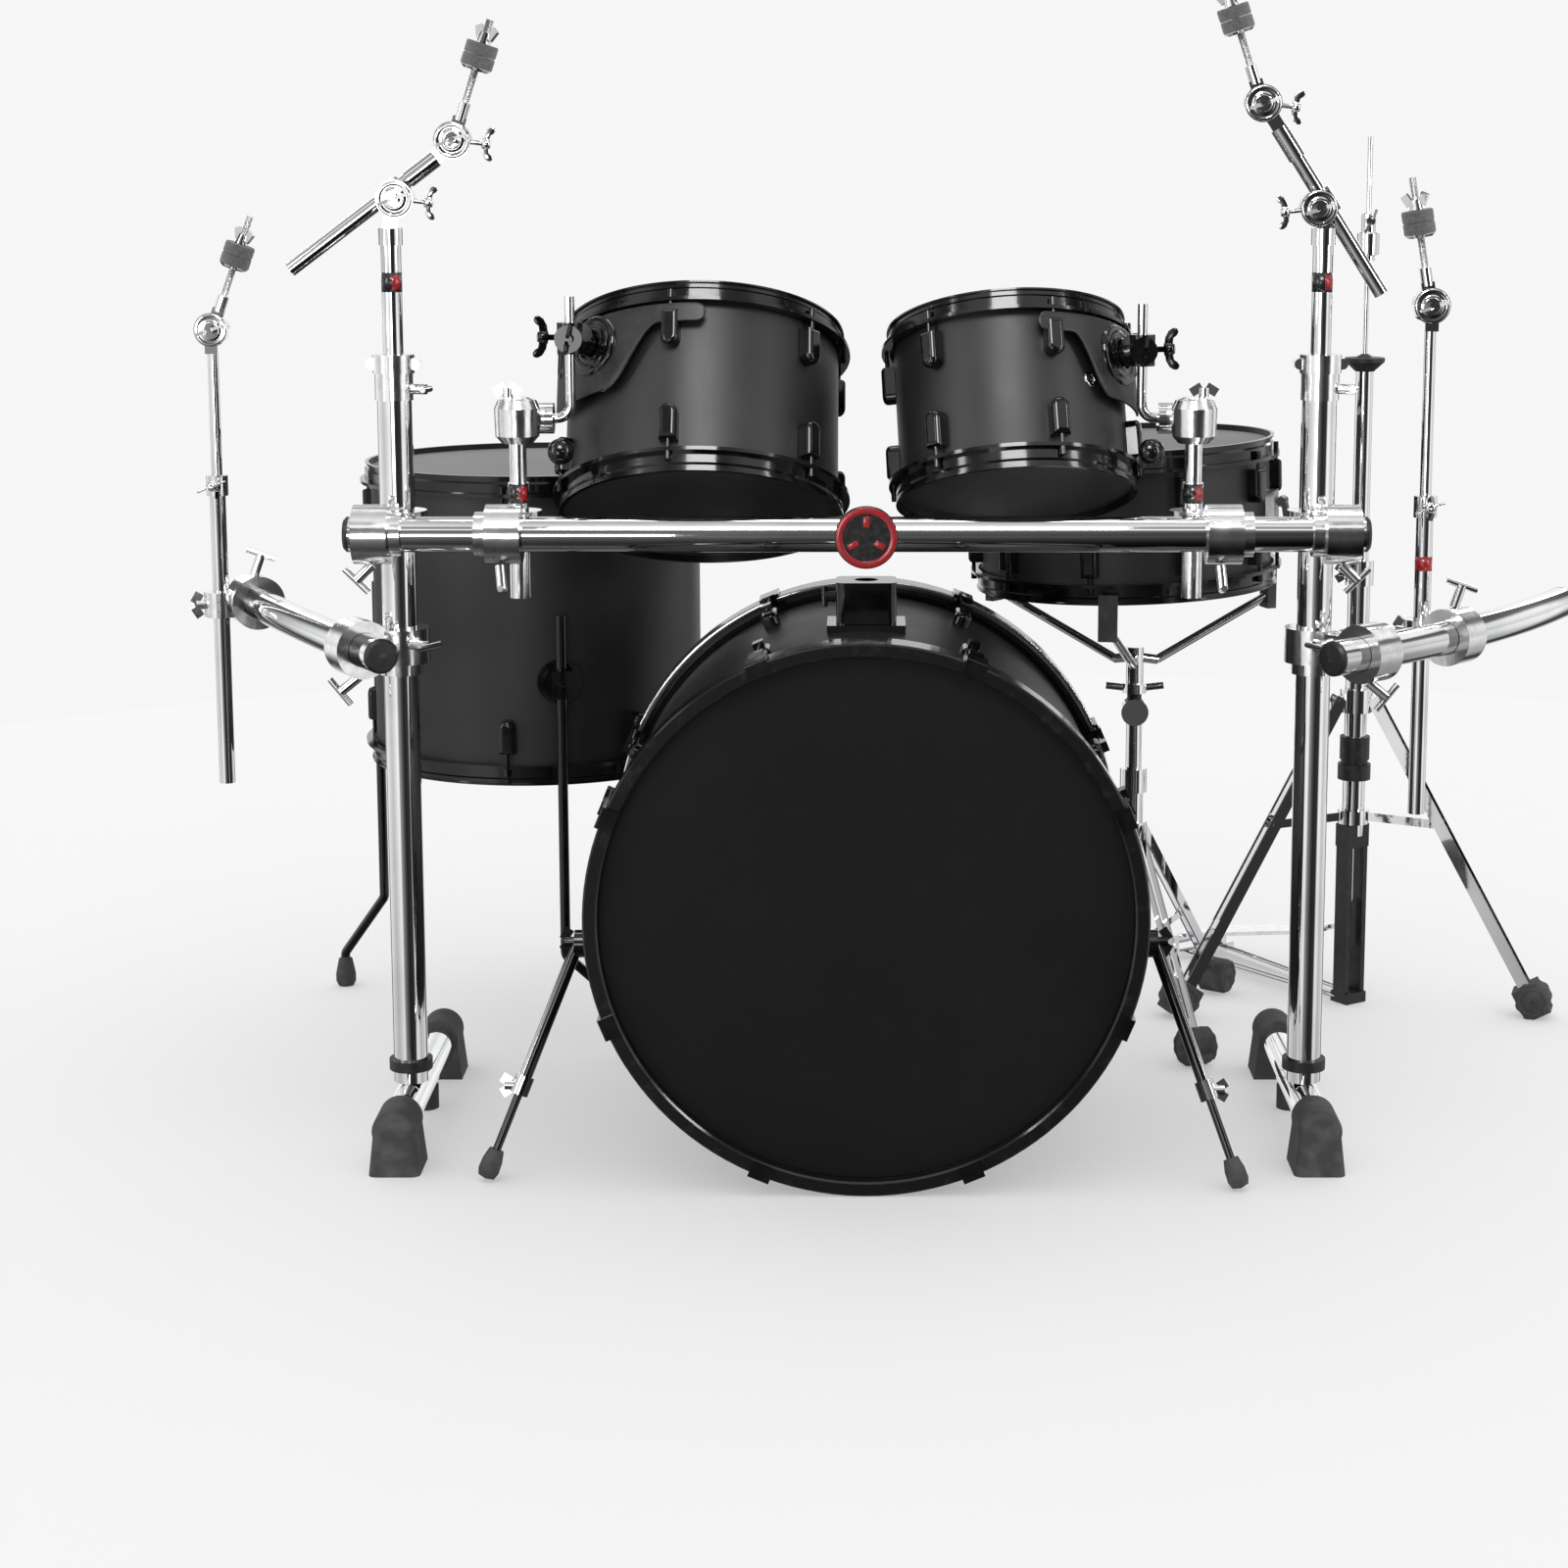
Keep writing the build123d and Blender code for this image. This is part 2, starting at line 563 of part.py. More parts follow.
for index, name in enumerate(hand):
    side = 1 if name == "left" else -1
    plate_x = tom_post_x[index] + side * (tilter_radius + 4 + hinge_gap)
    rod_x = tom_rod_x[index]
    with BuildPart() as tom_arm:
        rod((plate_x, tom_rod_y, tom_axis_z), (plate_x + side * 8, tom_rod_y, tom_axis_z), 17)
        rod((plate_x - side * 12, tom_rod_y, tom_axis_z), (plate_x + side, tom_rod_y, tom_axis_z),
            bolt_radius)
        with BuildLine() as route:
            FilletPolyline((plate_x + side * 4, tom_rod_y, tom_axis_z), (rod_x, tom_rod_y, tom_axis_z),
                           (rod_x, tom_rod_y, tom_rod_top[index]), radius=15)
        with BuildSketch(Plane(origin=route.line @ 0, z_dir=route.line % 0)) as section:
            Circle(tom_rod_radius)
        sweep(section.sketch, path=route.line)
    kit[f"tom_arm_{name}"] = tom_arm

for index, name in enumerate(hand):
    place, (radius, length) = tom_places[index], tom_sizes[index]
    count, phase = tom_rods[index], tom_phases[index]
    with BuildPart() as tom_shell:
        shell(place, radius, length)
    kit[f"tom_{name}_shell"] = tom_shell
    with BuildPart() as tom_hoops:
        hoop(place, radius, length, count, phase)
        hoop(flipped(place), radius, length, count, -phase)
    kit[f"tom_{name}_hoops"] = tom_hoops
    with BuildPart() as tom_heads:
        head(place, radius, length)
        head(flipped(place), radius, length)
    kit[f"tom_{name}_heads"] = tom_heads
    with BuildPart() as tom_lugs:
        drum_lugs(place, radius, length, count, phase, 42)
    kit[f"tom_{name}_lugs"] = tom_lugs

    # The rod clamp: a block bored for the arm's rod, a ribbed disc and a foot that follows the shell
    rod_x = tom_rod_x[index]
    clamp_z = tom_clamp_z[index]
    axis_point = Vector(rod_x, tom_rod_y, clamp_z)
    local = place.to_local_coords(axis_point)
    inward = Vector(local.X, local.Y, 0).normalized()
    wall_radius = radius + 0.1
    wall_point = place.from_local_coords(Vector(inward.X * wall_radius, inward.Y * wall_radius, local.Z))
    outward = (place.from_local_coords(inward + Vector(0, 0, local.Z))
               - place.from_local_coords(Vector(0, 0, local.Z))).normalized()
    with BuildPart() as tom_mount:
        disc = along(wall_point, outward, 8)
        rod(disc, along(disc, outward, 7), 28)
        rod(along(wall_point, outward, 0.6), disc, 20)
        reach = (axis_point - disc).dot(outward)
        rod(disc, along(disc, outward, max(reach, 14) + 4), 13)
        rod(axis_point - Vector(0, 0, 17), axis_point + Vector(0, 0, 17), 14)
        rod(axis_point - Vector(0, 0, 40), axis_point + Vector(0, 0, 40),
            tom_rod_radius + slide_gap, Mode.SUBTRACT)
        knob = axis_point + Vector(0, -12, 0)
        rod(knob, knob + Vector(0, -9, 0), 15)
        wing(Plane(origin=knob + Vector(0, -8, 0), x_dir=(0.2, 0, 1), z_dir=(0, -1, 0)))
        rod(place.from_local_coords(Vector(0, 0, local.Z - 60)),
            place.from_local_coords(Vector(0, 0, local.Z + 60)),
            radius + 0.5, Mode.SUBTRACT)
    kit[f"tom_{name}_mount"] = tom_mount

# ---------------------------------------------------------------- bass drum
bass_middle = bass_length / 2 + bass_proud
bass_place = Plane(origin=(0, bass_middle, bass_centre_z), x_dir=(1, 0, 0), z_dir=(0, -1, 0))
bass_hoop_back = 22.0
bass_rods = 8

with BuildPart() as bass_shell:
    shell(bass_place, bass_radius, bass_length)
kit["bass_shell"] = bass_shell

with BuildPart() as bass_heads:
    for place in (bass_place, flipped(bass_place)):
        top = bass_length / 2
        turned(place, [(0, top), (bass_radius + 0.5, top), (bass_radius + 0.5, top - 13),
                       (bass_radius + 5.5, top - 13), (bass_radius + 5.5, top - 1),
                       (bass_radius + 1.6, top - 1),
                       (bass_radius + 1.6, top + 0.9), (0, top + 0.9)])
kit["bass_heads"] = bass_heads

with BuildPart() as bass_hoops:
    for place in (bass_place, flipped(bass_place)):
        top = bass_length / 2
        turned(place, [(bass_radius + 2, top - 1), (bass_radius + 2, top + bass_proud - 2),
                       (bass_radius + 4, top + bass_proud), (bass_hoop_radius - 2, top + bass_proud),
                       (bass_hoop_radius, top + bass_proud - 2), (bass_hoop_radius, top - bass_hoop_back),
                       (bass_radius + 6, top - bass_hoop_back), (bass_radius + 6, top - 1)])
kit["bass_hoops"] = bass_hoops

with BuildPart() as claw_pattern:
    # One claw with its rod: x out from the drum's axis, z to the head, z = 0 at the hoop's face
    top_x = bass_hoop_radius + 0.1
    with Locations(Location((top_x - 14, 0, 0.1))):
        Box(18, 24, 3, align=(Align.MIN, Align.CENTER, Align.MIN))
    with Locations(Location((top_x, 0, -bass_proud - bass_hoop_back - 6))):
        Box(4, 24, bass_proud + bass_hoop_back + 9, align=(Align.MIN, Align.CENTER, Align.MIN))
    with Locations(Location((top_x - 7, 0, -bass_proud - bass_hoop_back - 14))):
        Box(13, 16, 13, align=(Align.MIN, Align.CENTER, Align.MIN))
    fillet(claw_pattern.edges().filter_by(Axis.Y).group_by(Axis.Z)[-1].sort_by(Axis.X)[-1:], 2)
    rod((top_x - 1, 0, -bass_proud - bass_hoop_back - 92), (top_x - 1, 0, -bass_proud - bass_hoop_back), 3)

with BuildPart() as bass_claws:
    for place, turn in ((bass_place, 1), (flipped(bass_place), -1)):
        for index in range(bass_rods):
            spot = place * Location((0, 0, 0), (0, 0, turn * (22.5 + 360 * index / bass_rods)))
            with Locations(spot * Location((0, 0, bass_length / 2 + bass_proud))):
                add(claw_pattern.part)
            with Locations(spot * Location((bass_radius, 0, bass_length / 2 - bass_hoop_back - 78))):
                add(lug_pattern.part)
            foot = spot * Location((bass_radius + lug_depth - 3, 0, bass_length / 2 - bass_hoop_back - 76))
            with Locations(foot):
                Box(11, 12, 18, align=(Align.MIN, Align.CENTER, Align.CENTER))
kit["bass_claws"] = bass_claws

mount_y, mount_width, mount_depth, mount_rise = 222.0, 66.0, 56.0, 52.0
holder_bore = 12.9
with BuildPart() as bass_tom_mount:
    crown = bass_centre_z + bass_radius
    block(Plane(origin=(0, mount_y, crown - 20)), (86, mount_depth + 12, 26), align=on_base)
    block(Plane(origin=(0, mount_y, crown - 4)), (mount_width, mount_depth, mount_rise + 4), align=on_base)
    fillet(bass_tom_mount.edges().filter_by(Axis.Z).group_by(Axis.Z)[-1], 9)
    rod((0, mount_y, crown - 10), (0, mount_y, crown + mount_rise + 10), holder_bore, Mode.SUBTRACT)
    rod((0, mount_y, crown - 10), (0, mount_y, crown + 3), holder_bore + 1.5, Mode.SUBTRACT)
    rod((0, mount_y - 80, bass_centre_z), (0, mount_y + 80, bass_centre_z), bass_radius + 0.1, Mode.SUBTRACT)
    tee_key(Plane(origin=(-mount_width / 2 - 0.5, mount_y - 8, crown + mount_rise - 18), x_dir=(0, 0.3, 1),
                  z_dir=(-1, 0, 0)), 12, 22)
kit["bass_tom_mount"] = bass_tom_mount

spur_feet = ((-407.0, 52.0), (397.0, 22.0))
spur_x = bass_radius + 24
with BuildPart() as spur_brackets:
    for side in (-1, 1):
        lean = Vector(side, 0, (spur_hinge_height - bass_centre_z) / bass_radius).normalized()
        spot = Vector(0, spur_hinge_y, bass_centre_z) + lean * (bass_radius + 0.2)
        frame = Plane(origin=spot, x_dir=(0, 1, 0), z_dir=lean)
        block(frame, (44, 58, 8), align=on_base)
        rod(Vector(side * (bass_radius - 2), spur_hinge_y, spur_hinge_height),
            (side * (spur_x - hinge_gap / 2), spur_hinge_y, spur_hinge_height), 15)
        rod((0, spur_hinge_y - 60, bass_centre_z), (0, spur_hinge_y + 60, bass_centre_z), bass_radius + 0.2,
            Mode.SUBTRACT)
kit["spur_brackets"] = spur_brackets

for name, side, (foot_x, foot_y) in zip(hand, (-1, 1), spur_feet):
    start = Vector(side * (spur_x + 9), spur_hinge_y, spur_hinge_height)
    foot = Vector(foot_x, foot_y, 9)
    way = foot - start
    with BuildPart() as spur:
        rod((side * (spur_x + hinge_gap / 2), spur_hinge_y, spur_hinge_height),
            (side * (spur_x + 12), spur_hinge_y, spur_hinge_height), 15)
        rod(start, along(start, way, way.length * 0.62), spur_radius)
        rod(along(start, way, way.length * 0.58), along(start, way, way.length * 0.66), spur_radius + 3)
        rod(along(start, way, way.length * 0.6), foot, spur_radius - 2.5)
        catch = along(start, way, way.length * 0.62)
        wing(Plane(origin=catch + Vector(side * 8, 0, 0), x_dir=(0, 0.3, 1), z_dir=(side, 0, 0)), 11)
        wing(Plane(origin=(side * (spur_x + 12), spur_hinge_y, spur_hinge_height + 2), x_dir=(0, 0.4, 1),
                   z_dir=(side, 0, 0)))
        turned(Plane(origin=along(foot, way, -26), z_dir=way),
               [(spur_radius - 2.4, 0), (8, 0), (11, 12), (11.5, 24), (9, 31), (0, 33.2), (0, 26.5),
                (spur_radius - 2.4, 26.5)])
    kit[f"spur_{name}"] = spur

# ---------------------------------------------------------------- floor tom
floor_place = drum_place(floor_centre, 0, 0)
floor_rods = 8
floor_phase = -49.5
floor_leg_angles = (-77.0, 63.0, 163.0)
floor_leg_ring = floor_radius + floor_leg_gap + leg_radius

with BuildPart() as floor_shell:
    shell(floor_place, floor_radius, floor_length)
kit["floor_tom_shell"] = floor_shell
with BuildPart() as floor_hoops:
    hoop(floor_place, floor_radius, floor_length, floor_rods, floor_phase)
    hoop(flipped(floor_place), floor_radius, floor_length, floor_rods, -floor_phase)
kit["floor_tom_hoops"] = floor_hoops
with BuildPart() as floor_heads:
    head(floor_place, floor_radius, floor_length)
    head(flipped(floor_place), floor_radius, floor_length)
kit["floor_tom_heads"] = floor_heads
with BuildPart() as floor_lugs:
    drum_lugs(floor_place, floor_radius, floor_length, floor_rods, floor_phase, 46)
kit["floor_tom_lugs"] = floor_lugs

leg_bracket_z = 470.0
with BuildPart() as floor_brackets:
    for angle in floor_leg_angles:
        frame = floor_place * Location((0, 0, leg_bracket_z - floor_centre[2]), (0, 0, angle))
        with Locations(frame * Location((floor_radius - 1, 0, 0), (0, 90, 0))):
            Cylinder(27, 8, align=on_base)
            Cylinder(20, 12, align=on_base)
        with Locations(frame * Location((floor_radius + 4, 0, 0))):
            Box(floor_leg_gap + 2 * leg_radius + 5, 26, 34, align=(Align.MIN, Align.CENTER, Align.CENTER))
        with Locations(frame * Location((floor_leg_ring, 0, 0))):
            Cylinder(leg_radius + slide_gap, 90, mode=Mode.SUBTRACT)
        nut = Plane(frame * Location((floor_leg_ring + leg_radius + 4.5, 0, 0), (0, 90, 0)))
        wing(nut)
    with Locations(floor_place):
        Cylinder(floor_radius + 0.1, floor_length, mode=Mode.SUBTRACT)
kit["floor_tom_brackets"] = floor_brackets

leg_top, leg_knee, knee_out, tip_rise = 552.0, 138.0, 96.0, 26.0
floor_leg_swing = (100.0, 60.0, -30.0)  # how far each leg's foot is swung from straight out
with BuildPart() as floor_legs:
    for angle, swing in zip(floor_leg_angles, floor_leg_swing):
        spot = Vector(floor_centre[0], floor_centre[1], 0) + Vector(floor_leg_ring, 0, 0).rotate(Axis.Z, angle)
        out = Vector(1, 0, 0).rotate(Axis.Z, angle + swing) * knee_out
        knee, ankle = spot + Vector(0, 0, leg_knee), spot + out + Vector(0, 0, 44)
        with BuildLine() as route:
            FilletPolyline(spot + Vector(0, 0, leg_top), knee, ankle, ankle - Vector(0, 0, 20), radius=12)
        with BuildSketch(Plane(origin=route.line @ 0, z_dir=route.line % 0)) as section:
            Circle(leg_radius)
        sweep(section.sketch, path=route.line)
        turned(Plane(origin=ankle - Vector(0, 0, 44), z_dir=(0, 0, 1)),
               [(0, 0), (10, 0), (13, 6), (13, 16), (9, 36), (leg_radius + 0.1, 38),
                (leg_radius + 0.1, 23.9), (0, 23.9)])
kit["floor_tom_legs"] = floor_legs

# ---------------------------------------------------------------- snare
snare_place = drum_place(snare_centre, snare_lean, 270.0)
snare_rods = 10
snare_phase = -36.0
with BuildPart() as snare_shell:
    shell(snare_place, snare_radius, snare_length)
kit["snare_shell"] = snare_shell
with BuildPart() as snare_hoops:
    hoop(snare_place, snare_radius, snare_length, snare_rods, snare_phase)
    hoop(flipped(snare_place), snare_radius, snare_length, snare_rods, -snare_phase)
kit["snare_hoops"] = snare_hoops
with BuildPart() as snare_heads:
    head(snare_place, snare_radius, snare_length)
    head(flipped(snare_place), snare_radius, snare_length)
kit["snare_heads"] = snare_heads
with BuildPart() as snare_lug_set:
    drum_lugs(snare_place, snare_radius, snare_length, snare_rods, snare_phase, 40)
kit["snare_lugs"] = snare_lug_set

throw_angle = -18.0
wire_count, wire_radius = 20, 0.8
with BuildPart() as snare_strainer:
    for angle, height in ((throw_angle, 62), (throw_angle + 180, 44)):
        swung = snare_place * Location((0, 0, 0), (0, 0, angle))
        with Locations(swung * Location((snare_radius + 0.1, 0, -6))):
            Box(11, 30, height, align=(Align.MIN, Align.CENTER, Align.CENTER))
    with Locations(snare_place):
        Cylinder(snare_radius + 0.1, snare_length, mode=Mode.SUBTRACT)
    across = snare_place * Location((0, 0, -snare_length / 2 - 3), (0, 0, throw_angle))
    for index in range(wire_count):
        offset = (index - (wire_count - 1) / 2) * 2.1
        with Locations(across * Location((0, offset, 0), (0, 90, 0))):
            Cylinder(wire_radius, 260)
    for end in (-1, 1):
        with Locations(across * Location((end * 132, 0, 0))):
            Box(10, 46, 3.2)
kit["snare_strainer"] = snare_strainer

lever_hinge = snare_place * Location((0, 0, 0), (0, 0, throw_angle)) * Location((snare_radius + 18, 0, 12))
with BuildPart() as snare_lever:
    with Locations(lever_hinge * Location((0, 0, 0), (90, 0, 0))):
        Cylinder(6, 20)
    with Locations(lever_hinge * Location((3, 0, -2), (0, -8, 0))):
        Box(6, 16, 52, align=(Align.CENTER, Align.CENTER, Align.MAX))
kit["snare_lever"] = snare_lever

# Snare stand: basket, post and a low tripod
basket_z = snare_centre[2] - snare_length / 2 - 13
stand_x, stand_y = stand_centre
hub_z = 470.0
basket_angles = (-100.0, 20.0, 140.0)
with BuildPart() as snare_basket:
    rod((stand_x, stand_y, hub_z - 32), (stand_x, stand_y, hub_z + 14), 11)
    for angle in basket_angles:
        out = Vector(1, 0, 0).rotate(Axis.Z, angle)
        seat = Vector(snare_centre[0], snare_centre[1], 0) + out * (snare_radius + 17)
        start = Vector(stand_x, stand_y, hub_z) + out * 8
        knuckle = Vector(stand_x, stand_y, hub_z - 4) + out * 30
        end = Vector(seat.X, seat.Y, basket_z - 20) + out * 6
        rod(start, knuckle, 6)
        rod(knuckle, end, 5.5)
        grip = Plane(origin=(end.X, end.Y, basket_z - 36), x_dir=out, z_dir=(0, 0, 1))
        block(grip, (12, 22, 54), align=on_base)
        ledge_spot = (end.X - out.X * 14, end.Y - out.Y * 14, basket_z - 12)
        ledge = Plane(origin=ledge_spot, x_dir=out, z_dir=(0, 0, 1))
        block(ledge, (30, 18, 26), align=on_base)
    with Locations(snare_place):
        Cylinder(snare_radius + 13.6, snare_length + 16 + 2 * hinge_gap, mode=Mode.SUBTRACT)
    with Locations(Plane(origin=(stand_x, stand_y, hub_z - 32))):
        Cylinder(15, 12, align=(Align.CENTER, Align.CENTER, Align.MAX))
    for side in (-1, 1):
        rod((stand_x + side * 10, stand_y, hub_z - 38), (stand_x + side * 36, stand_y, hub_z - 35), 4.5)
kit["snare_basket"] = snare_basket

with BuildPart() as snare_stand:
    low = hub_z - 44
    rod((stand_x, stand_y, low), (stand_x, stand_y, low - 14), 9)
    rod((stand_x, stand_y + 11, low - 24), (stand_x, stand_y - 11, low - 24), 17)
    rod((stand_x, stand_y, low - 36), (stand_x, stand_y, 300), 10)
    rod((stand_x, stand_y, 318), (stand_x, stand_y, 96), 12.7)
    rod((stand_x, stand_y, 330), (stand_x, stand_y, 300), 17)
    rod((stand_x, stand_y, 262), (stand_x, stand_y, 240), 18)
    rod((stand_x, stand_y, 110), (stand_x, stand_y, 92), 18)
    for angle in (48.0, -70.0, 168.0):
        out = Vector(1, 0, 0).rotate(Axis.Z, angle)
        top = Vector(stand_x, stand_y, 250) + out * 18
        foot = Vector(stand_x, stand_y, 20) + out * stand_reach
        for shift in (-5, 5):
            side_way = out.cross(Vector(0, 0, 1)) * shift
            slope = Plane(origin=(top + foot) * 0.5 + side_way, x_dir=foot - top, z_dir=side_way)
            block(slope, ((foot - top).length + 14, 12, 2.5))
        brace_low = Vector(stand_x, stand_y, 100) + out * 16
        brace_high = top + (foot - top) * 0.55
        brace = Plane(origin=(brace_low + brace_high) * 0.5, x_dir=brace_high - brace_low,
                      z_dir=out.cross(Vector(0, 0, 1)))
        block(brace, ((brace_high - brace_low).length, 9, 3))
        way = foot - top
        shoe = Plane(origin=along(foot, way, -16), x_dir=out.cross(Vector(0, 0, 1)), z_dir=way)
        block(shoe, (25, 26, 34), align=on_base)
    block(Plane(origin=(stand_x, stand_y, 0)), (900, 900, 60), Mode.SUBTRACT,
          (Align.CENTER, Align.CENTER, Align.MAX))
kit["snare_stand"] = snare_stand

# ---------------------------------------------------------------- hi-hat stand
hat_x, hat_y = hihat_centre
seat_height = 828.0
leg_collar_z = 400.0
frame_top, frame_low = 222.0, 10.0
frame_half, frame_bar = 17.0, 7.0
pull_radius = 3.2
hat_heel = Vector(heel_centre[0], heel_centre[1], 0)
hat_foot = Vector(hat_x, hat_y, 0)
pedal_way = (hat_heel - hat_foot).normalized()
pedal_side = pedal_way.cross(Vector(0, 0, 1))

with BuildPart() as hihat_stand:
    pipe((hat_x, hat_y, frame_top), (hat_x, hat_y, 560), 14.3, 12.6)
    pipe((hat_x, hat_y, 500), (hat_x, hat_y, seat_height - 6), 11.1, pull_radius + 2)
    # seat cup, height clamp, spring adjuster and the frame's collar
    turned(Plane(origin=(hat_x, hat_y, seat_height - 8), z_dir=(0, 0, 1)),
           [(pull_radius + slide_gap, 0), (12, 0), (25, 12), (25, 17), (13, 17),
            (pull_radius + slide_gap, 22)])
    pipe((hat_x, hat_y, 548), (hat_x, hat_y, 580), 18, 11.1 - 0.1)
    pipe((hat_x, hat_y, 296), (hat_x, hat_y, 316), 21, 14.2)
    pipe((hat_x, hat_y, 322), (hat_x, hat_y, 352), 19, 14.2)
    pipe((hat_x, hat_y, 316), (hat_x, hat_y, 322), 17, 14.2)
    with Locations(Plane(origin=(hat_x, hat_y, frame_top), x_dir=pedal_side, z_dir=(0, 0, 1))):
        Box(2 * frame_half, 26, 30)
    wing(Plane(origin=(hat_x - 16, hat_y, 564), x_dir=(0, 0, 1), z_dir=(-1, 0, 0)), 12)
    # cast frame: two side bars and a foot
    for side in (-1, 1):
        spot = hat_foot + pedal_side * side * (frame_half - frame_bar / 2) + Vector(0, 0, frame_low)
        block(Plane(origin=spot, x_dir=pedal_side, z_dir=(0, 0, 1)), (frame_bar, 22, frame_top - frame_low),
              align=on_base)
    block(Plane(origin=hat_foot, x_dir=pedal_side, z_dir=(0, 0, 1)), (2 * frame_half, 30, 14),
          align=on_base)
    rod((hat_x, hat_y, 206), (hat_x, hat_y, 600), pull_radius + 2, Mode.SUBTRACT)
    # radius rods and the heel plate on the floor
    for side in (-1, 1):
        start = hat_foot + pedal_side * side * (frame_half - 3) + pedal_way * 8 + Vector(0, 0, 7)
        end = hat_heel + pedal_side * side * 30 - pedal_way * 12 + Vector(0, 0, 7)
        rod(start, end, 3)
    block(Plane(origin=hat_heel + pedal_way * 22, x_dir=pedal_side, z_dir=(0, 0, 1)), (96, 90, 10),
          align=on_base)
    for side in (-1, 1):
        lug_spot = hat_heel + pedal_side * side * 43 + Vector(0, 0, 9)
        block(Plane(origin=lug_spot, x_dir=pedal_side, z_dir=(0, 0, 1)), (8, 18, 20), align=on_base)
    hinge_start = hat_heel - pedal_side * 44 + Vector(0, 0, 21)
    rod(hinge_start, hinge_start + pedal_side * 88, 3)
kit["hihat_stand"] = hihat_stand

heel_z = 21.0
toe_rise = 64.0
pedal_length = (hat_foot - hat_heel).length - 34
with BuildPart() as hihat_footboard:
    hinge_spot = hat_heel + Vector(0, 0, heel_z)
    toe = hat_heel - pedal_way * pedal_length + Vector(0, 0, heel_z + toe_rise)
    slope = Plane(origin=hinge_spot, x_dir=pedal_side, z_dir=(toe - hinge_spot).cross(pedal_side))
    board_length = (toe - hinge_spot).length
    board_up = slope.z_dir if slope.z_dir.Z > 0 else slope.z_dir * -1
    board = Plane(origin=hinge_spot + (toe - hinge_spot) * 0.5 + board_up * 5,
                  x_dir=toe - hinge_spot, z_dir=board_up)
    block(board, (board_length - 4, 74, 5))
    fillet(hihat_footboard.edges().filter_by(lambda edge: abs((edge % 0.5).dot(board_up)) > 0.99), 16)
    rod(hinge_spot - pedal_side * 37, hinge_spot + pedal_side * 37, 6.5)
    rod(hinge_spot - pedal_side * 50, hinge_spot + pedal_side * 50, 3 + hinge_gap, Mode.SUBTRACT)
    tongue = Plane(origin=toe + board_up * 5 + pedal_way * 12, x_dir=toe - hinge_spot, z_dir=board_up)
    block(tongue, (30, 16, 5))
kit["hihat_footboard"] = hihat_footboard

rod_top = 1112.0
with BuildPart() as hihat_rod:
    rod((hat_x, hat_y, 116), (hat_x, hat_y, rod_top), pull_radius)
    block(Plane(origin=(hat_x, hat_y, 104), x_dir=pedal_side, z_dir=(0, 0, 1)), (9, 12, 62))
    # clutch: sleeve, felts, nut and its wing bolt
    turned(Plane(origin=(hat_x, hat_y, 958), z_dir=(0, 0, 1)),
           [(pull_radius - 0.1, 0), (9, 0), (9, 6), (14, 8), (14, 34), (9, 36), (9, 58),
            (pull_radius - 0.1, 60)])
    wing(Plane(origin=(hat_x, hat_y - 8, 1008), x_dir=(0.5, 0, 1), z_dir=(0, -1, 0)), 14)
kit["hihat_rod"] = hihat_rod

with BuildPart() as hihat_legs:
    pipe((hat_x, hat_y, leg_collar_z - 16), (hat_x, hat_y, leg_collar_z + 14), 21, 14.3 + slide_gap)
    pipe((hat_x, hat_y, 238), (hat_x, hat_y, 256), 20, 14.3 + slide_gap)
    for angle in (196.0, -17.0):
        out = Vector(1, 0, 0).rotate(Axis.Z, angle)
        across = out.cross(Vector(0, 0, 1))
        top = hat_foot + out * 24 + Vector(0, 0, leg_collar_z)
        foot = hat_foot + out * hihat_reach + Vector(0, 0, 24)
        for shift in (-8, 8):
            side_way = across * shift
            slope = Plane(origin=(top + foot) * 0.5 + side_way, x_dir=foot - top, z_dir=side_way)
            block(slope, ((foot - top).length + 8, 15, 3))
        brace_low = hat_foot + out * 23 + Vector(0, 0, 247)
        brace_high = top + (foot - top) * 0.42
        brace = Plane(origin=(brace_low + brace_high) * 0.5, x_dir=brace_high - brace_low, z_dir=across)
        block(brace, ((brace_high - brace_low).length + 10, 11, 4))
        rod(brace_high - across * 10, brace_high + across * 10, 3.5)
        rod(top - across * 10, top + across * 10, 4)
        way = foot - top
        shoe = Plane(origin=along(foot, way, -18), x_dir=across, z_dir=way)
        block(shoe, (36, 34, 42), align=on_base)
    block(Plane(origin=(hat_x, hat_y, 0)), (900, 900, 60), Mode.SUBTRACT,
          (Align.CENTER, Align.CENTER, Align.MAX))
kit["hihat_legs"] = hihat_legs

# ---------------------------------------------------------------- writing
boxes = [piece.part.bounding_box() for piece in kit.values()]
origin_x = (min(box.min.X for box in boxes) + max(box.max.X for box in boxes)) / 2
origin_y = (min(box.min.Y for box in boxes) + max(box.max.Y for box in boxes)) / 2
for name, piece in kit.items():
    solid = piece.part.moved(Location((-origin_x, -origin_y, 0)))
    solid.label = name
    export_step(solid, f"parts/{name}.step")
print("nodes", len(kit), "origin", round(origin_x, 3), round(origin_y, 3))
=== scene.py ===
import json
import math

import bmesh
import bpy
from mathutils import Matrix, Vector

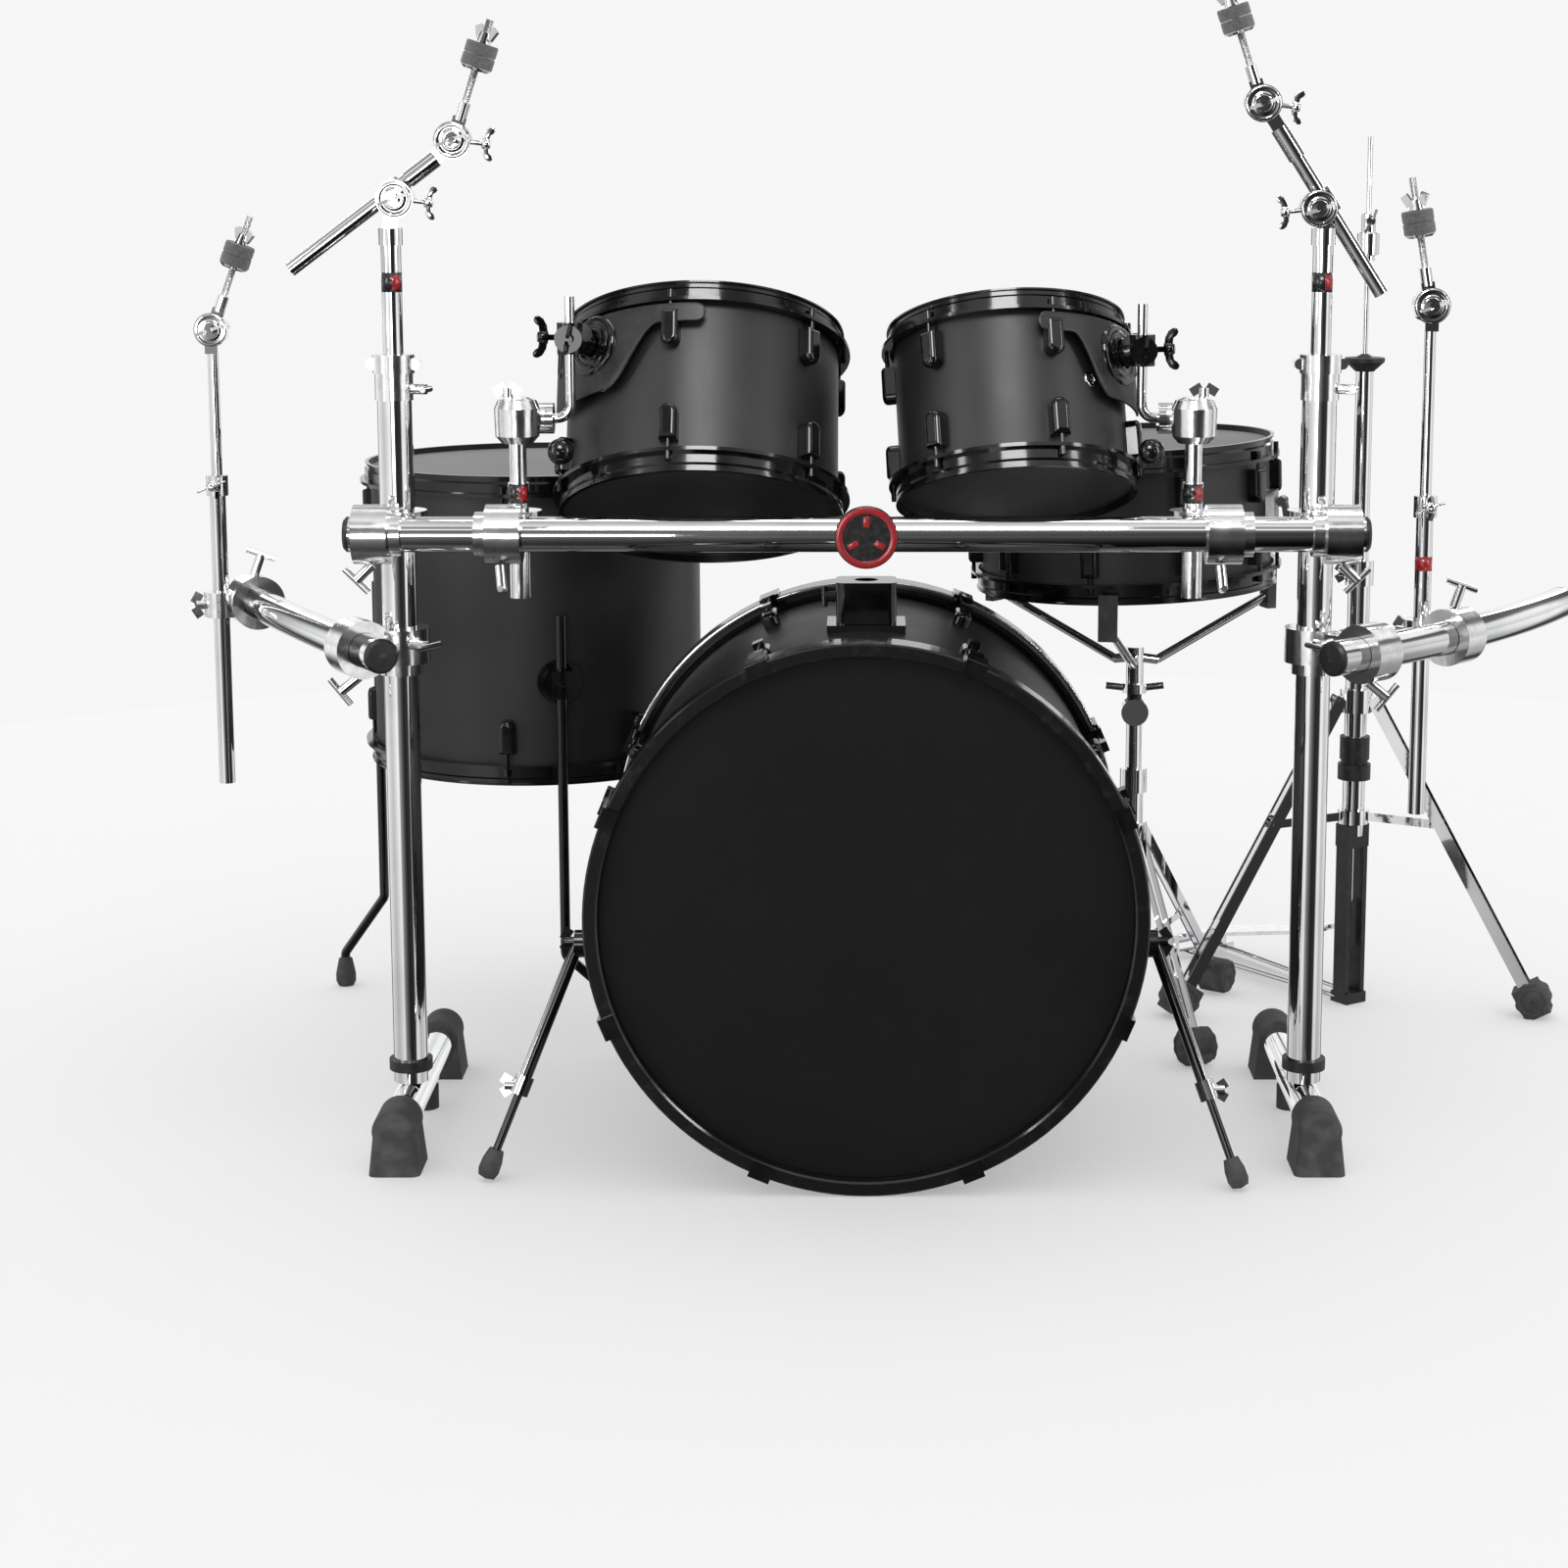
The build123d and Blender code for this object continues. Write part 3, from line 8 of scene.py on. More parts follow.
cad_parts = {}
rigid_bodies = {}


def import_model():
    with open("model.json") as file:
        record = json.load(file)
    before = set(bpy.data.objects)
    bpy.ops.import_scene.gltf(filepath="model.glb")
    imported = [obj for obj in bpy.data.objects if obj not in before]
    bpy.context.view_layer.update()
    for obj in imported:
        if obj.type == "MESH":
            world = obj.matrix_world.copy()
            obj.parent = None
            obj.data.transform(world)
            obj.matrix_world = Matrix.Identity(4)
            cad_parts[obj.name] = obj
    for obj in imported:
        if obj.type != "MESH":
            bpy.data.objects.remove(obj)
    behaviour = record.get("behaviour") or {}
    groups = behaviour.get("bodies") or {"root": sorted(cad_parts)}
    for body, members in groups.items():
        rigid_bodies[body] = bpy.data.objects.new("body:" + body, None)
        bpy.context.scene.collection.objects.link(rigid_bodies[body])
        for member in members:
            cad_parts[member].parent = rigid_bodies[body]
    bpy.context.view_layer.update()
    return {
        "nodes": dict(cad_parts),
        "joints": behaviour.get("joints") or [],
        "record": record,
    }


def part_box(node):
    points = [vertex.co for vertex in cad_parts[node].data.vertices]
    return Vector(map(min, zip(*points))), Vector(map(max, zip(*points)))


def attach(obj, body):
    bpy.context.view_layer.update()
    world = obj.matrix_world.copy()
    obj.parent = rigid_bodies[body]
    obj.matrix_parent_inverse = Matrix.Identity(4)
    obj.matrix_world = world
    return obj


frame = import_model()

nodes = frame["nodes"]
joints = {joint["name"]: joint for joint in frame["joints"]}
mounts = {mount["name"]: mount for mount in frame["record"]["mounts"]}
hands = ("left", "right")
print("frame loaded:", len(nodes), "nodes")


class Tone:  # wraps one output socket, so shader maths reads as arithmetic
    def __init__(self, surface, socket):
        self.surface = surface
        self.socket = socket

    def __add__(self, other):
        return self.surface.maths("ADD", self, other)

    def __radd__(self, other):
        return self.surface.maths("ADD", other, self)

    def __mul__(self, other):
        return self.surface.maths("MULTIPLY", self, other)

    def __rmul__(self, other):
        return self.surface.maths("MULTIPLY", other, self)

    def __truediv__(self, other):
        return self.surface.maths("DIVIDE", self, other)

    def __rtruediv__(self, other):
        return self.surface.maths("DIVIDE", other, self)


class Surface:  # one material and its node tree
    def __init__(self, name, tree=None):
        if tree is None:
            self.material = bpy.data.materials.new(name)
            self.material.use_nodes = True
            tree = self.material.node_tree
        self.tree = tree
        self.shader = tree.nodes.get("Principled BSDF")
        self.place = None

    def node(self, kind, settings=None, sockets=None, out=0):
        made = self.tree.nodes.new("ShaderNode" + kind)
        for key, value in (settings or {}).items():
            if key == "stops":
                ramp = made.color_ramp
                while len(ramp.elements) < len(value):
                    ramp.elements.new(1)
                for element, (position, level) in zip(ramp.elements, value):
                    element.position = position
                    element.color = (level, level, level, 1)
            else:
                setattr(made, key, value)
        for key, value in (sockets or {}).items():
            if isinstance(value, Tone):
                self.tree.links.new(value.socket, made.inputs[key])
            else:
                made.inputs[key].default_value = value
        return Tone(self, made.outputs[out])

    def maths(self, operation, *values):
        return self.node("Math", {"operation": operation}, dict(enumerate(values)))

    def here(self):  # the point on the object, in metres
        if self.place is None:
            self.place = self.node("TexCoord", out="Object")
        return self.place

    def parts(self):
        point = self.here()
        return [self.node("SeparateXYZ", None, {0: point}, out) for out in (0, 1, 2)]

    def noise(self, scale, detail=2.0, stretch=None):
        point = self.here()
        if stretch:
            point = self.node("VectorMath", {"operation": "MULTIPLY"}, {0: point, 1: stretch})
        return self.node("TexNoise", None, {"Vector": point, "Scale": scale, "Detail": detail})

    def cells(self, scale):
        return self.node("TexVoronoi", None, {"Vector": self.here(), "Scale": scale})

    def ramp(self, value, *stops):
        return self.node("ValToRGB", {"stops": stops}, {0: value})

    def mix(self, factor, first, second):
        return self.node("Mix", {"data_type": "RGBA"}, {0: factor, 6: rgb(first), 7: rgb(second)}, 2)

    def bump(self, height, strength, distance=0.0005):
        return self.node("Bump", None, {"Height": height, "Strength": strength, "Distance": distance})

    def feed(self, **values):  # names are sockets of the shader, with _ for a space
        for key, value in values.items():
            socket = self.shader.inputs[key.replace("_", " ")]
            if isinstance(value, Tone):
                self.tree.links.new(value.socket, socket)
            else:
                socket.default_value = value
        return self.material


def rgb(colour):
    if isinstance(colour, Tone):
        return colour
    if isinstance(colour, (int, float)):
        return (colour, colour, colour, 1)
    return (*colour, 1)


def polishedChrome():
    chrome = dict(bright=(0.9, 0.905, 0.91), dull=(0.74, 0.75, 0.77), rough=0.03, smear=0.06)
    s = Surface("polished chrome")
    smear = s.ramp(s.noise(9, 3), (0.45, 0), (0.75, 1))
    handling = s.ramp(s.noise(120, 2, (1, 1, 0.2)), (0.5, 0), (0.8, 1))
    return s.feed(Base_Color=s.mix(smear, chrome["bright"], chrome["dull"]), Metallic=1.0,
                  Roughness=chrome["rough"] + chrome["smear"] * smear * handling,
                  Normal=s.bump(s.noise(300), 0.012))


def castChrome():
    cast = dict(bright=(0.96, 0.96, 0.965), dark=(0.78, 0.79, 0.8), rough=0.13, grain=0.1)
    s = Surface("cast chrome")
    soot = s.ramp(s.noise(60, 3), (0.4, 0), (0.78, 1))
    return s.feed(Base_Color=s.mix(soot, cast["bright"], cast["dark"]), Metallic=1.0,
                  Roughness=cast["rough"] + cast["grain"] * soot,
                  Normal=s.bump(s.noise(48, 2), 0.22, 0.0012))


def threadedChrome():  # fine rings along the part's height
    s = Surface("threaded chrome rod")
    height = s.parts()[2]
    rings = s.maths("SINE", height * 5200)
    return s.feed(Base_Color=(0.74, 0.75, 0.76, 1), Metallic=1.0, Roughness=0.13 + 0.08 * rings,
                  Normal=s.bump(rings, 0.6, 0.0003))


def blackNickel():
    plate = dict(dark=(0.0025, 0.0025, 0.0028), light=(0.008, 0.008, 0.0086), rough=0.1, wear=0.07)
    s = Surface("black nickel plate")
    cloud = s.ramp(s.noise(30, 3), (0.4, 0), (0.7, 1))
    return s.feed(Base_Color=s.mix(cloud, plate["dark"], plate["light"]), Specular_IOR_Level=0.42,
                  Roughness=plate["rough"] + plate["wear"] * cloud, Coat_Weight=0.3, Coat_Roughness=0.05,
                  Normal=s.bump(s.noise(300, 2), 0.06))


def satinShell():
    lacquer = dict(dark=(0.006, 0.006, 0.0066), light=(0.013, 0.013, 0.0138), rough=0.4, cloud=0.07)
    s = Surface("satin black lacquer")
    cloud = s.ramp(s.noise(14, 4), (0.3, 0), (0.75, 1))
    grain = s.noise(260, 3, (1, 1, 0.12))
    peel = s.noise(900, 2)
    return s.feed(Base_Color=s.mix(cloud, lacquer["dark"], lacquer["light"]),
                  Roughness=lacquer["rough"] + lacquer["cloud"] * cloud + 0.05 * grain,
                  Specular_IOR_Level=0.62, Normal=s.bump(grain * 0.4 + peel, 0.2, 0.0003))


def hoopLacquer():
    lacquer = dict(colour=(0.008, 0.008, 0.0085), rough=0.1)
    s = Surface("gloss black lacquer")
    dust = s.ramp(s.noise(80, 3), (0.55, 0), (0.8, 1))
    return s.feed(Base_Color=s.mix(dust, lacquer["colour"], (0.02, 0.02, 0.021)),
                  Roughness=lacquer["rough"] + 0.12 * dust, Coat_Weight=0.2, Coat_Roughness=0.05,
                  Normal=s.bump(s.noise(420, 2), 0.05))


def film(name, dark, light, rough, grain, shine=0.5):  # a drum head's plastic film
    s = Surface(name)
    cloud = s.ramp(s.noise(5, 4), (0.3, 0), (0.75, 1))
    speck = s.noise(grain, 2)
    scuff = s.ramp(s.noise(35, 4), (0.58, 0), (0.75, 1))
    return s.feed(Base_Color=s.mix(cloud * 0.7 + scuff * 0.3, dark, light),
                  Roughness=rough + 0.08 * scuff, Specular_IOR_Level=shine,
                  Normal=s.bump(speck, 0.25, 0.0002))


def sootRubber():
    rubber = dict(dark=(0.045, 0.045, 0.047), worn=(0.09, 0.09, 0.093), rough=0.7)
    s = Surface("moulded rubber")
    wear = s.ramp(s.noise(45, 4), (0.45, 0), (0.72, 1))
    return s.feed(Base_Color=s.mix(wear, rubber["dark"], rubber["worn"]),
                  Roughness=rubber["rough"] + 0.14 * wear,
                  Normal=s.bump(s.noise(500, 3) + s.cells(380) * 0.5, 0.35, 0.0004))


def mouldedBlack():
    plastic = dict(colour=(0.014, 0.014, 0.015), pale=(0.035, 0.035, 0.037), rough=0.42)
    s = Surface("moulded black plastic")
    wear = s.ramp(s.noise(90, 3), (0.5, 0), (0.78, 1))
    return s.feed(Base_Color=s.mix(wear, plastic["colour"], plastic["pale"]),
                  Roughness=plastic["rough"] + 0.1 * wear,
                  Normal=s.bump(s.cells(900), 0.2, 0.0002))


def woolFelt():
    felt = dict(dark=(0.05, 0.05, 0.053), light=(0.17, 0.17, 0.175), rough=0.95)
    s = Surface("wool felt")
    fibre = s.noise(900, 5, (1, 1, 2.5))
    tuft = s.noise(230, 3)
    nap = s.ramp(fibre * 0.6 + tuft * 0.4, (0.35, 0), (0.68, 1))
    return s.feed(Base_Color=s.mix(nap, felt["dark"], felt["light"]),
                  Roughness=felt["rough"], Sheen_Weight=0.4, Sheen_Roughness=0.6,
                  Normal=s.bump(fibre + tuft * 0.6, 0.9, 0.0012))


def enamel(name, colour, deep):
    s = Surface(name)
    cloud = s.ramp(s.noise(160, 3), (0.4, 0), (0.7, 1))
    return s.feed(Base_Color=s.mix(cloud, colour, deep), Roughness=0.22 + 0.1 * cloud, Coat_Weight=0.6,
                  Coat_Roughness=0.08, Normal=s.bump(s.noise(600, 2), 0.08))


def brushedSteel():
    s = Surface("brushed steel")
    streak = s.noise(500, 2, (0.1, 1, 1))
    return s.feed(Base_Color=s.mix(streak, (0.42, 0.42, 0.43), (0.62, 0.62, 0.63)), Metallic=1.0,
                  Roughness=0.24 + 0.14 * streak, Normal=s.bump(streak, 0.2, 0.0003))


finish = dict(chrome=polishedChrome(), cast=castChrome(), thread=threadedChrome(), nickel=blackNickel(),
              shell=satinShell(), lacquer=hoopLacquer(), rubber=sootRubber(), plastic=mouldedBlack(),
              felt=woolFelt(), steel=brushedSteel(),
              frontFilm=film("black bass film", (0.006, 0.006, 0.0064), (0.01, 0.01, 0.0106), 0.55, 300,
                             0.16),
              darkFilm=film("dark film", (0.02, 0.02, 0.021), (0.034, 0.034, 0.036), 0.36, 500),
              greyFilm=film("coated grey film", (0.2, 0.2, 0.21), (0.27, 0.27, 0.28), 0.62, 1400),
              red=enamel("red enamel", (0.42, 0.012, 0.018), (0.3, 0.006, 0.01)),
              black=enamel("black enamel", (0.01, 0.01, 0.011), (0.02, 0.02, 0.021)))
print("finishes made:", len(finish))


# gives a node its finishes; choose picks one by a face's middle and normal
def dress(node, names, choose=None):
    mesh = nodes[node].data
    mesh.materials.clear()
    for name in names:
        mesh.materials.append(finish[name])
    for face in mesh.polygons:
        face.material_index = choose(face.center, face.normal) if choose else 0


def bothHands(prefix):
    return [f"{prefix}_{hand}" for hand in hands]


for node in ("rack_uprights", "rack_feet", "rack_bar", "side_pipes", "arm_pipes",
             *bothHands("boom_post"), *bothHands("boom"), *bothHands("arm_rod"), *bothHands("tom_arm")):
    dress(node, ["chrome"])
for node in ("pipe_clamps", "clamp_keys", "hihat_footboard", "tom_posts"):
    dress(node, ["cast"])
lowPlastic = dict(collar=0.12, chain=0.14)  # plastic below these heights
dress("pipe_caps", ["plastic"])
dress("pipe_collars", ["cast", "plastic"], lambda spot, normal: int(spot.z < lowPlastic["collar"]))
dress("rack_boots", ["rubber"])
for drum in ("tom_left", "tom_right", "floor_tom", "snare", "bass"):
    dress(f"{drum}_shell", ["shell"])
for drum in ("tom_left", "tom_right", "floor_tom", "snare"):
    dress(f"{drum}_hoops", ["nickel"])
    dress(f"{drum}_lugs", ["nickel"])
for node in ("bass_claws", "bass_tom_mount", "spur_brackets", "floor_tom_brackets", "tom_left_mount",
             "tom_right_mount", "snare_lever"):
    dress(node, ["nickel"])
dress("bass_hoops", ["lacquer"])
dress("bass_heads", ["frontFilm"])
dress("snare_strainer", ["steel"])


def drumMiddle(drum):
    low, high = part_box(f"{drum}_shell")
    return (low + high) / 2


def drumAxis(lean, turn):
    tilt, swing = math.radians(lean), math.radians(turn)
    return Vector((math.sin(tilt) * math.sin(swing), math.sin(tilt) * math.cos(swing), math.cos(tilt)))


# the floor tom's and snare's batter heads are coated, every other head is dark film
for drum, lean, turn in (("tom_left", 26.0, 0.0), ("tom_right", 22.0, -8.0), ("floor_tom", 0.0, 0.0),
                         ("snare", 2.0, 270.0)):
    middle = drumMiddle(drum)
    axis = drumAxis(lean, turn)
    top = "greyFilm" if drum in ("floor_tom", "snare") else "darkFilm"
    dress(f"{drum}_heads", ["darkFilm", top], lambda spot, normal: int((spot - middle).dot(axis) > 0))

# cymbal tops: chrome rod, felts between joint and tip
feltZone = dict(boom=(0.0812, 0.1080), arm=(0.0792, 0.1060), radius=0.0185, rod=0.0043, start=0.03)
for kind in ("boom", "arm"):
    for hand in hands:
        joint = Vector(joints[f"{kind}_top_{hand}_tilt"]["pos_m"])
        tip = Vector(mounts[f"{kind}_{hand}_tip"]["pos_m"])
        way = Vector(mounts[f"{kind}_{hand}_tip"]["axis"]).normalized()
        low, high = feltZone[kind]

        def pick(spot, normal):
            along = (spot - joint).dot(way)
            across = ((spot - tip) - way * (spot - tip).dot(way)).length
            if low < along < high and across < feltZone["radius"]:
                return 1
            return 2 if across < feltZone["rod"] and along > feltZone["start"] else 0

        dress(f"{kind}_top_{hand}", ["chrome", "felt", "thread"], pick)

# rubber tips low on legs, black or chrome above
footTop = dict(spur=0.036, floor=0.038, snare=0.046, hat=0.06)
spurWing = dict(low=0.085, high=0.17, out=0.0105)  # its wing bolt stands out from the black tube
for hand in hands:
    hinge = Vector(joints[f"spur_{hand}_fold"]["pos_m"])
    soles = [face.center for face in nodes[f"spur_{hand}"].data.polygons if face.center.z < 0.02]
    spurWay = (sum(soles, Vector()) / len(soles) - hinge).normalized()

    def spurFinish(spot, normal):
        if spot.z < footTop["spur"]:
            return 1
        across = (spot - hinge).cross(spurWay).length
        return 2 if spurWing["low"] < spot.z < spurWing["high"] and across > spurWing["out"] else 0

    dress(f"spur_{hand}", ["nickel", "rubber", "chrome"], spurFinish)
dress("floor_tom_legs", ["nickel", "rubber"], lambda spot, normal: int(spot.z < footTop["floor"]))

standMiddle = sum(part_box("snare_basket"), Vector()) / 2
hatAxis = Vector(joints["hihat_legs_swivel"]["pos_m"])


def farFrom(centre, spot):
    return math.hypot(spot.x - centre.x, spot.y - centre.y)


dress("hihat_legs", ["chrome", "rubber"],
      lambda spot, normal: int(spot.z < footTop["hat"] and farFrom(hatAxis, spot) > 0.2))
dress("hihat_rod", ["chrome", "plastic"], lambda spot, normal: int(spot.z < lowPlastic["chain"]))


hatPlastic = dict(foot=0.24, collar=(0.294, 0.354), core=0.06, seat=0.815)


def standFinish(spot, normal):
    low, high = hatPlastic["collar"]
    if spot.z < hatPlastic["foot"] or low < spot.z < high:
        return 2 if farFrom(hatAxis, spot) < hatPlastic["core"] else 0
    if spot.z > hatPlastic["seat"]:
        return 2
    return 0


dress("hihat_stand", ["chrome", "rubber", "plastic"], standFinish)

grips = dict(out=0.168, low=0.515)  # black sleeves on the basket's arms
dress("snare_basket", ["chrome", "rubber"],
      lambda spot, normal: int(farFrom(standMiddle, spot) > grips["out"] and spot.z > grips["low"]))
snareHub = dict(low=0.415, high=0.452, core=0.0135)
dress("snare_stand", ["chrome", "plastic", "rubber"],
      lambda spot, normal: 2 if spot.z < footTop["snare"] and farFrom(standMiddle, spot) > 0.1 else
      int(snareHub["low"] < spot.z < snareHub["high"] and farFrom(standMiddle, spot) > snareHub["core"]))
dress("bar_badge", ["black"])
print("nodes dressed")


def piece(name, mesh, body, material):
    made = bpy.data.objects.new(name, mesh)
    bpy.context.scene.collection.objects.link(made)
    mesh.materials.append(finish[material])
    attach(made, body)
    return made


def smoothMesh(name, bm):
    bmesh.ops.recalc_face_normals(bm, faces=bm.faces)
    mesh = bpy.data.meshes.new(name)
    bm.to_mesh(mesh)
    bm.free()
    for face in mesh.polygons:
        face.use_smooth = True
    return mesh


def frameOf(origin, axis, side=Vector((1, 0, 0))):  # matrix whose z is the axis
    z = Vector(axis).normalized()
    x = (Vector(side) - z * Vector(side).dot(z)).normalized()
    place = Matrix((x, z.cross(x), z)).transposed().to_4x4()
    place.translation = origin
    return place


# a closed outline of (radius, height) turned about z; teeth stand out by depth
def lathe(name, outline, place, steps=64, teeth=0, depth=0.0):
    bm = bmesh.new()
    rings = []
    for step in range(steps):
        angle = math.tau * step / steps
        grow = depth if teeth and (step * 2 * teeth // steps) % 2 else 0.0
        way = Vector((math.cos(angle), math.sin(angle), 0))
        rings.append([bm.verts.new(place @ (way * (r + grow) + Vector((0, 0, h)))) for r, h in outline])
    count = len(outline)
    for step in range(steps):
        here, there = rings[step], rings[(step + 1) % steps]
        for index in range(count):
            other = (index + 1) % count
            bm.faces.new((here[index], there[index], there[other], here[other]))
    return smoothMesh(name, bm)


def roundEdges(made, width, segments=2):
    bevel = made.modifiers.new("edges", "BEVEL")
    bevel.width = width
    bevel.segments = segments
    bevel.limit_method = "ANGLE"
    bevel.angle_limit = math.radians(35)
    return made


# ratchet teeth at the boom, boom top and arm top tilting joints

ratchet = dict(inside=0.0135, outside=0.0179, half=0.0012, teeth=36, relief=0.0006)


def toothRing(name, joint, body):
    facts = joints[joint]
    place = frameOf(Vector(facts["pos_m"]), facts["axis"])
    half = ratchet["half"]
    outline = [(ratchet["inside"], -half), (ratchet["outside"], -half), (ratchet["outside"], half),
               (ratchet["inside"], half)]
    mesh = lathe(name, outline, place, ratchet["teeth"] * 4, ratchet["teeth"], ratchet["relief"])
    return piece(name, mesh, body, "cast")


for hand in hands:
    toothRing(f"boom_ratchet_{hand}", f"boom_{hand}_tilt", f"boom_{hand}")
    toothRing(f"boom_top_ratchet_{hand}", f"boom_top_{hand}_tilt", f"boom_top_{hand}")
    toothRing(f"arm_top_ratchet_{hand}", f"arm_top_{hand}_tilt", f"arm_top_{hand}")

for hand in hands:  # stepped boss on the front of each boom, boom top and arm top joint
    for name in (f"boom_{hand}", f"boom_top_{hand}", f"arm_top_{hand}"):
        facts = joints[f"{name}_tilt"]
        place = frameOf(Vector(facts["pos_m"]), (0, -1, 0))
        outline = [(0.0085, 0.0088), (0.0192, 0.0088), (0.0192, 0.0098), (0.0178, 0.0108), (0.0155, 0.0104),
                   (0.0138, 0.0096), (0.0118, 0.0103), (0.0102, 0.0112), (0.0085, 0.0108)]
        piece(f"boss_{name}", lathe(f"boss_{name}", outline, place), facts["parent"], "chrome")

# badge on the bar: a red ring and three short bars round a hub

badge = dict(ring=(0.0255, 0.0325), height=0.0012, bars=3, barLength=0.0115, barWidth=0.0065, barAt=0.0165,
             barTube=0.0381, gap=0.009)


def makeBadge():
    low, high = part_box("bar_badge")
    barLow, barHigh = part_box("rack_bar")
    face = barHigh.y - badge["barTube"] - badge["gap"]
    centre = Vector(((low.x + high.x) / 2, face, (barLow.z + barHigh.z) / 2))
    place = frameOf(centre, (0, -1, 0))
    inner, outer = badge["ring"]
    rise = badge["height"]
    outline = [(inner, -0.0003), (outer, -0.0003), (outer, rise * 0.7), (outer - 0.0006, rise),
               (inner + 0.0006, rise), (inner, rise * 0.7)]
    piece("badge_ring", lathe("badge_ring", outline, place, 96), "kit_base", "red")
    for index in range(badge["bars"]):
        turn = Matrix.Rotation(math.radians(90) + math.tau * index / badge["bars"], 4, "Z")
        bm = bmesh.new()
        bmesh.ops.create_cube(bm, size=1)
        bmesh.ops.scale(bm, vec=(badge["barLength"], badge["barWidth"], rise), verts=bm.verts)
        bmesh.ops.translate(bm, vec=(badge["barAt"], 0, rise / 2), verts=bm.verts)
        bmesh.ops.transform(bm, matrix=place @ turn, verts=bm.verts)
        name = f"badge_bar_{index}"
        made = piece(name, smoothMesh(name, bm), "kit_base", "red")
        roundEdges(made, 0.0005)


makeBadge()

# bright trim on the front edge of the rear bass hoop

rim = dict(back=0.0382, width=0.0066, depth=0.0009)


def makeRim():
    low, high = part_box("bass_hoops")
    radius = (high.z - low.z) / 2
    centre = Vector(((low.x + high.x) / 2, high.y - rim["back"], (low.z + high.z) / 2))
    place = frameOf(centre, (0, -1, 0))
    outline = [(radius - rim["width"], 0), (radius - 0.0006, 0), (radius - 0.0002, rim["depth"] * 0.5),
               (radius - 0.001, rim["depth"]), (radius - rim["width"], rim["depth"])]
    piece("rear_hoop_rim", lathe("rear_hoop_rim", outline, place, 128), "kit_base", "chrome")


makeRim()

# coloured bands on the tubes

band = dict(height=0.021, skin=0.00014, patch=(8, 62), postZ=0.944, stemZ=0.716, stemOut=0.0293,
            armZ=0.63, stemRadius=0.0111, armRadius=0.0095)


def tubeBand(name, x, y, z, radius, body, colour="black", height=band["height"]):
    place = frameOf(Vector((x, y, z)), (0, 0, 1))
    skin = band["skin"]
    outline = [(radius, 0), (radius + skin, 0), (radius + skin, height), (radius, height)]
    piece(name, lathe(name, outline, place), body, colour)
    if colour == "black":  # a red patch on the front of the black band
        bm = bmesh.new()
        first, last = band["patch"]
        rows = []
        for step in range(13):
            angle = math.radians(-90 + first + (last - first) * step / 12)
            way = Vector((math.cos(angle), math.sin(angle), 0)) * (radius + skin * 1.6)
            rows.append([bm.verts.new(place @ (way + Vector((0, 0, height * share))))
                         for share in (0.12, 0.88)])
        for here, there in zip(rows, rows[1:]):
            bm.faces.new((here[0], there[0], there[1], here[1]))
        made = piece(f"{name}_patch", smoothMesh(f"{name}_patch", bm), body, "red")
        thick = made.modifiers.new("thick", "SOLIDIFY")
        thick.thickness = 0.0001


uprightLow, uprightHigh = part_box("rack_uprights")
tubeRadius = 0.01905
for hand in hands:
    postX = uprightLow.x + tubeRadius if hand == "left" else uprightHigh.x - tubeRadius
    postY = (uprightLow.y + uprightHigh.y) / 2
    tubeBand(f"post_band_{hand}", postX, postY, band["postZ"], band["stemRadius"], f"boom_post_{hand}")
    stem = Vector(joints[f"tom_arm_{hand}_tilt"]["pos_m"])
    stem.x += band["stemOut"] * (-1 if hand == "left" else 1)
    tubeBand(f"stem_band_{hand}", stem.x, postY, band["stemZ"], band["stemRadius"], "kit_base")
armSpot = Vector(joints["arm_top_right_tilt"]["pos_m"])
tubeBand("arm_band", armSpot.x, armSpot.y, band["armZ"], band["armRadius"], "kit_base", "red", 0.016)
print("trim made")

# air vents on the toms

vent = dict(outside=0.0085, inside=0.005, proud=0.0022)
tomSet = dict(left=dict(lean=26.0, turn=0.0, radius=0.1524, ventAt=-132.0, ventUp=0.006,
                        depth=0.2032, mountZ=0.893),
              right=dict(lean=22.0, turn=-8.0, radius=0.127, ventAt=-49.0, ventUp=0.004,
                         depth=0.184, mountZ=0.88))


def tomFrame(hand):
    facts = tomSet[hand]
    axis = drumAxis(facts["lean"], facts["turn"])
    return frameOf(drumMiddle(f"tom_{hand}"), axis, axis.cross(Vector((0, -1, 0))))


for hand in hands:
    facts = tomSet[hand]
    angle = math.radians(facts["ventAt"])
    outward = Vector((math.cos(angle), math.sin(angle), 0))
    base = tomFrame(hand)
    spot = base @ (outward * (facts["radius"] - 0.0004) + Vector((0, 0, facts["ventUp"])))
    place = frameOf(spot, base.to_3x3() @ outward)
    ring = [(vent["inside"], 0), (vent["outside"], 0), (vent["outside"], vent["proud"] * 0.5),
            (vent["outside"] - 0.001, vent["proud"]), (vent["inside"] + 0.0008, vent["proud"]),
            (vent["inside"], vent["proud"] * 0.4)]
    piece(f"vent_{hand}", lathe(f"vent_{hand}", ring, place), f"tom_{hand}", "chrome")
    # a flat dark plastic disc in the vent ring's opening is painted shade, standing in for the dark hole into
    # the drum
    shade_disc = [(0.0002, 0.0004), (vent["inside"], 0.0004), (vent["inside"], 0.0008), (0.0002, 0.0008)]
    piece(f"vent_shade_disc_{hand}", lathe(f"vent_shade_disc_{hand}", shade_disc, place), f"tom_{hand}", "plastic")

# tom suspension plates and mount rings

plate = dict(out=0.0125, thick=0.0028, under=0.021, slim=0.021, deep=0.088, rows=7)
reach = dict(left=dict(tip=-86.0, wide=-126.0, end=-166.0), right=dict(tip=-78.0, wide=-42.0, end=-6.0))


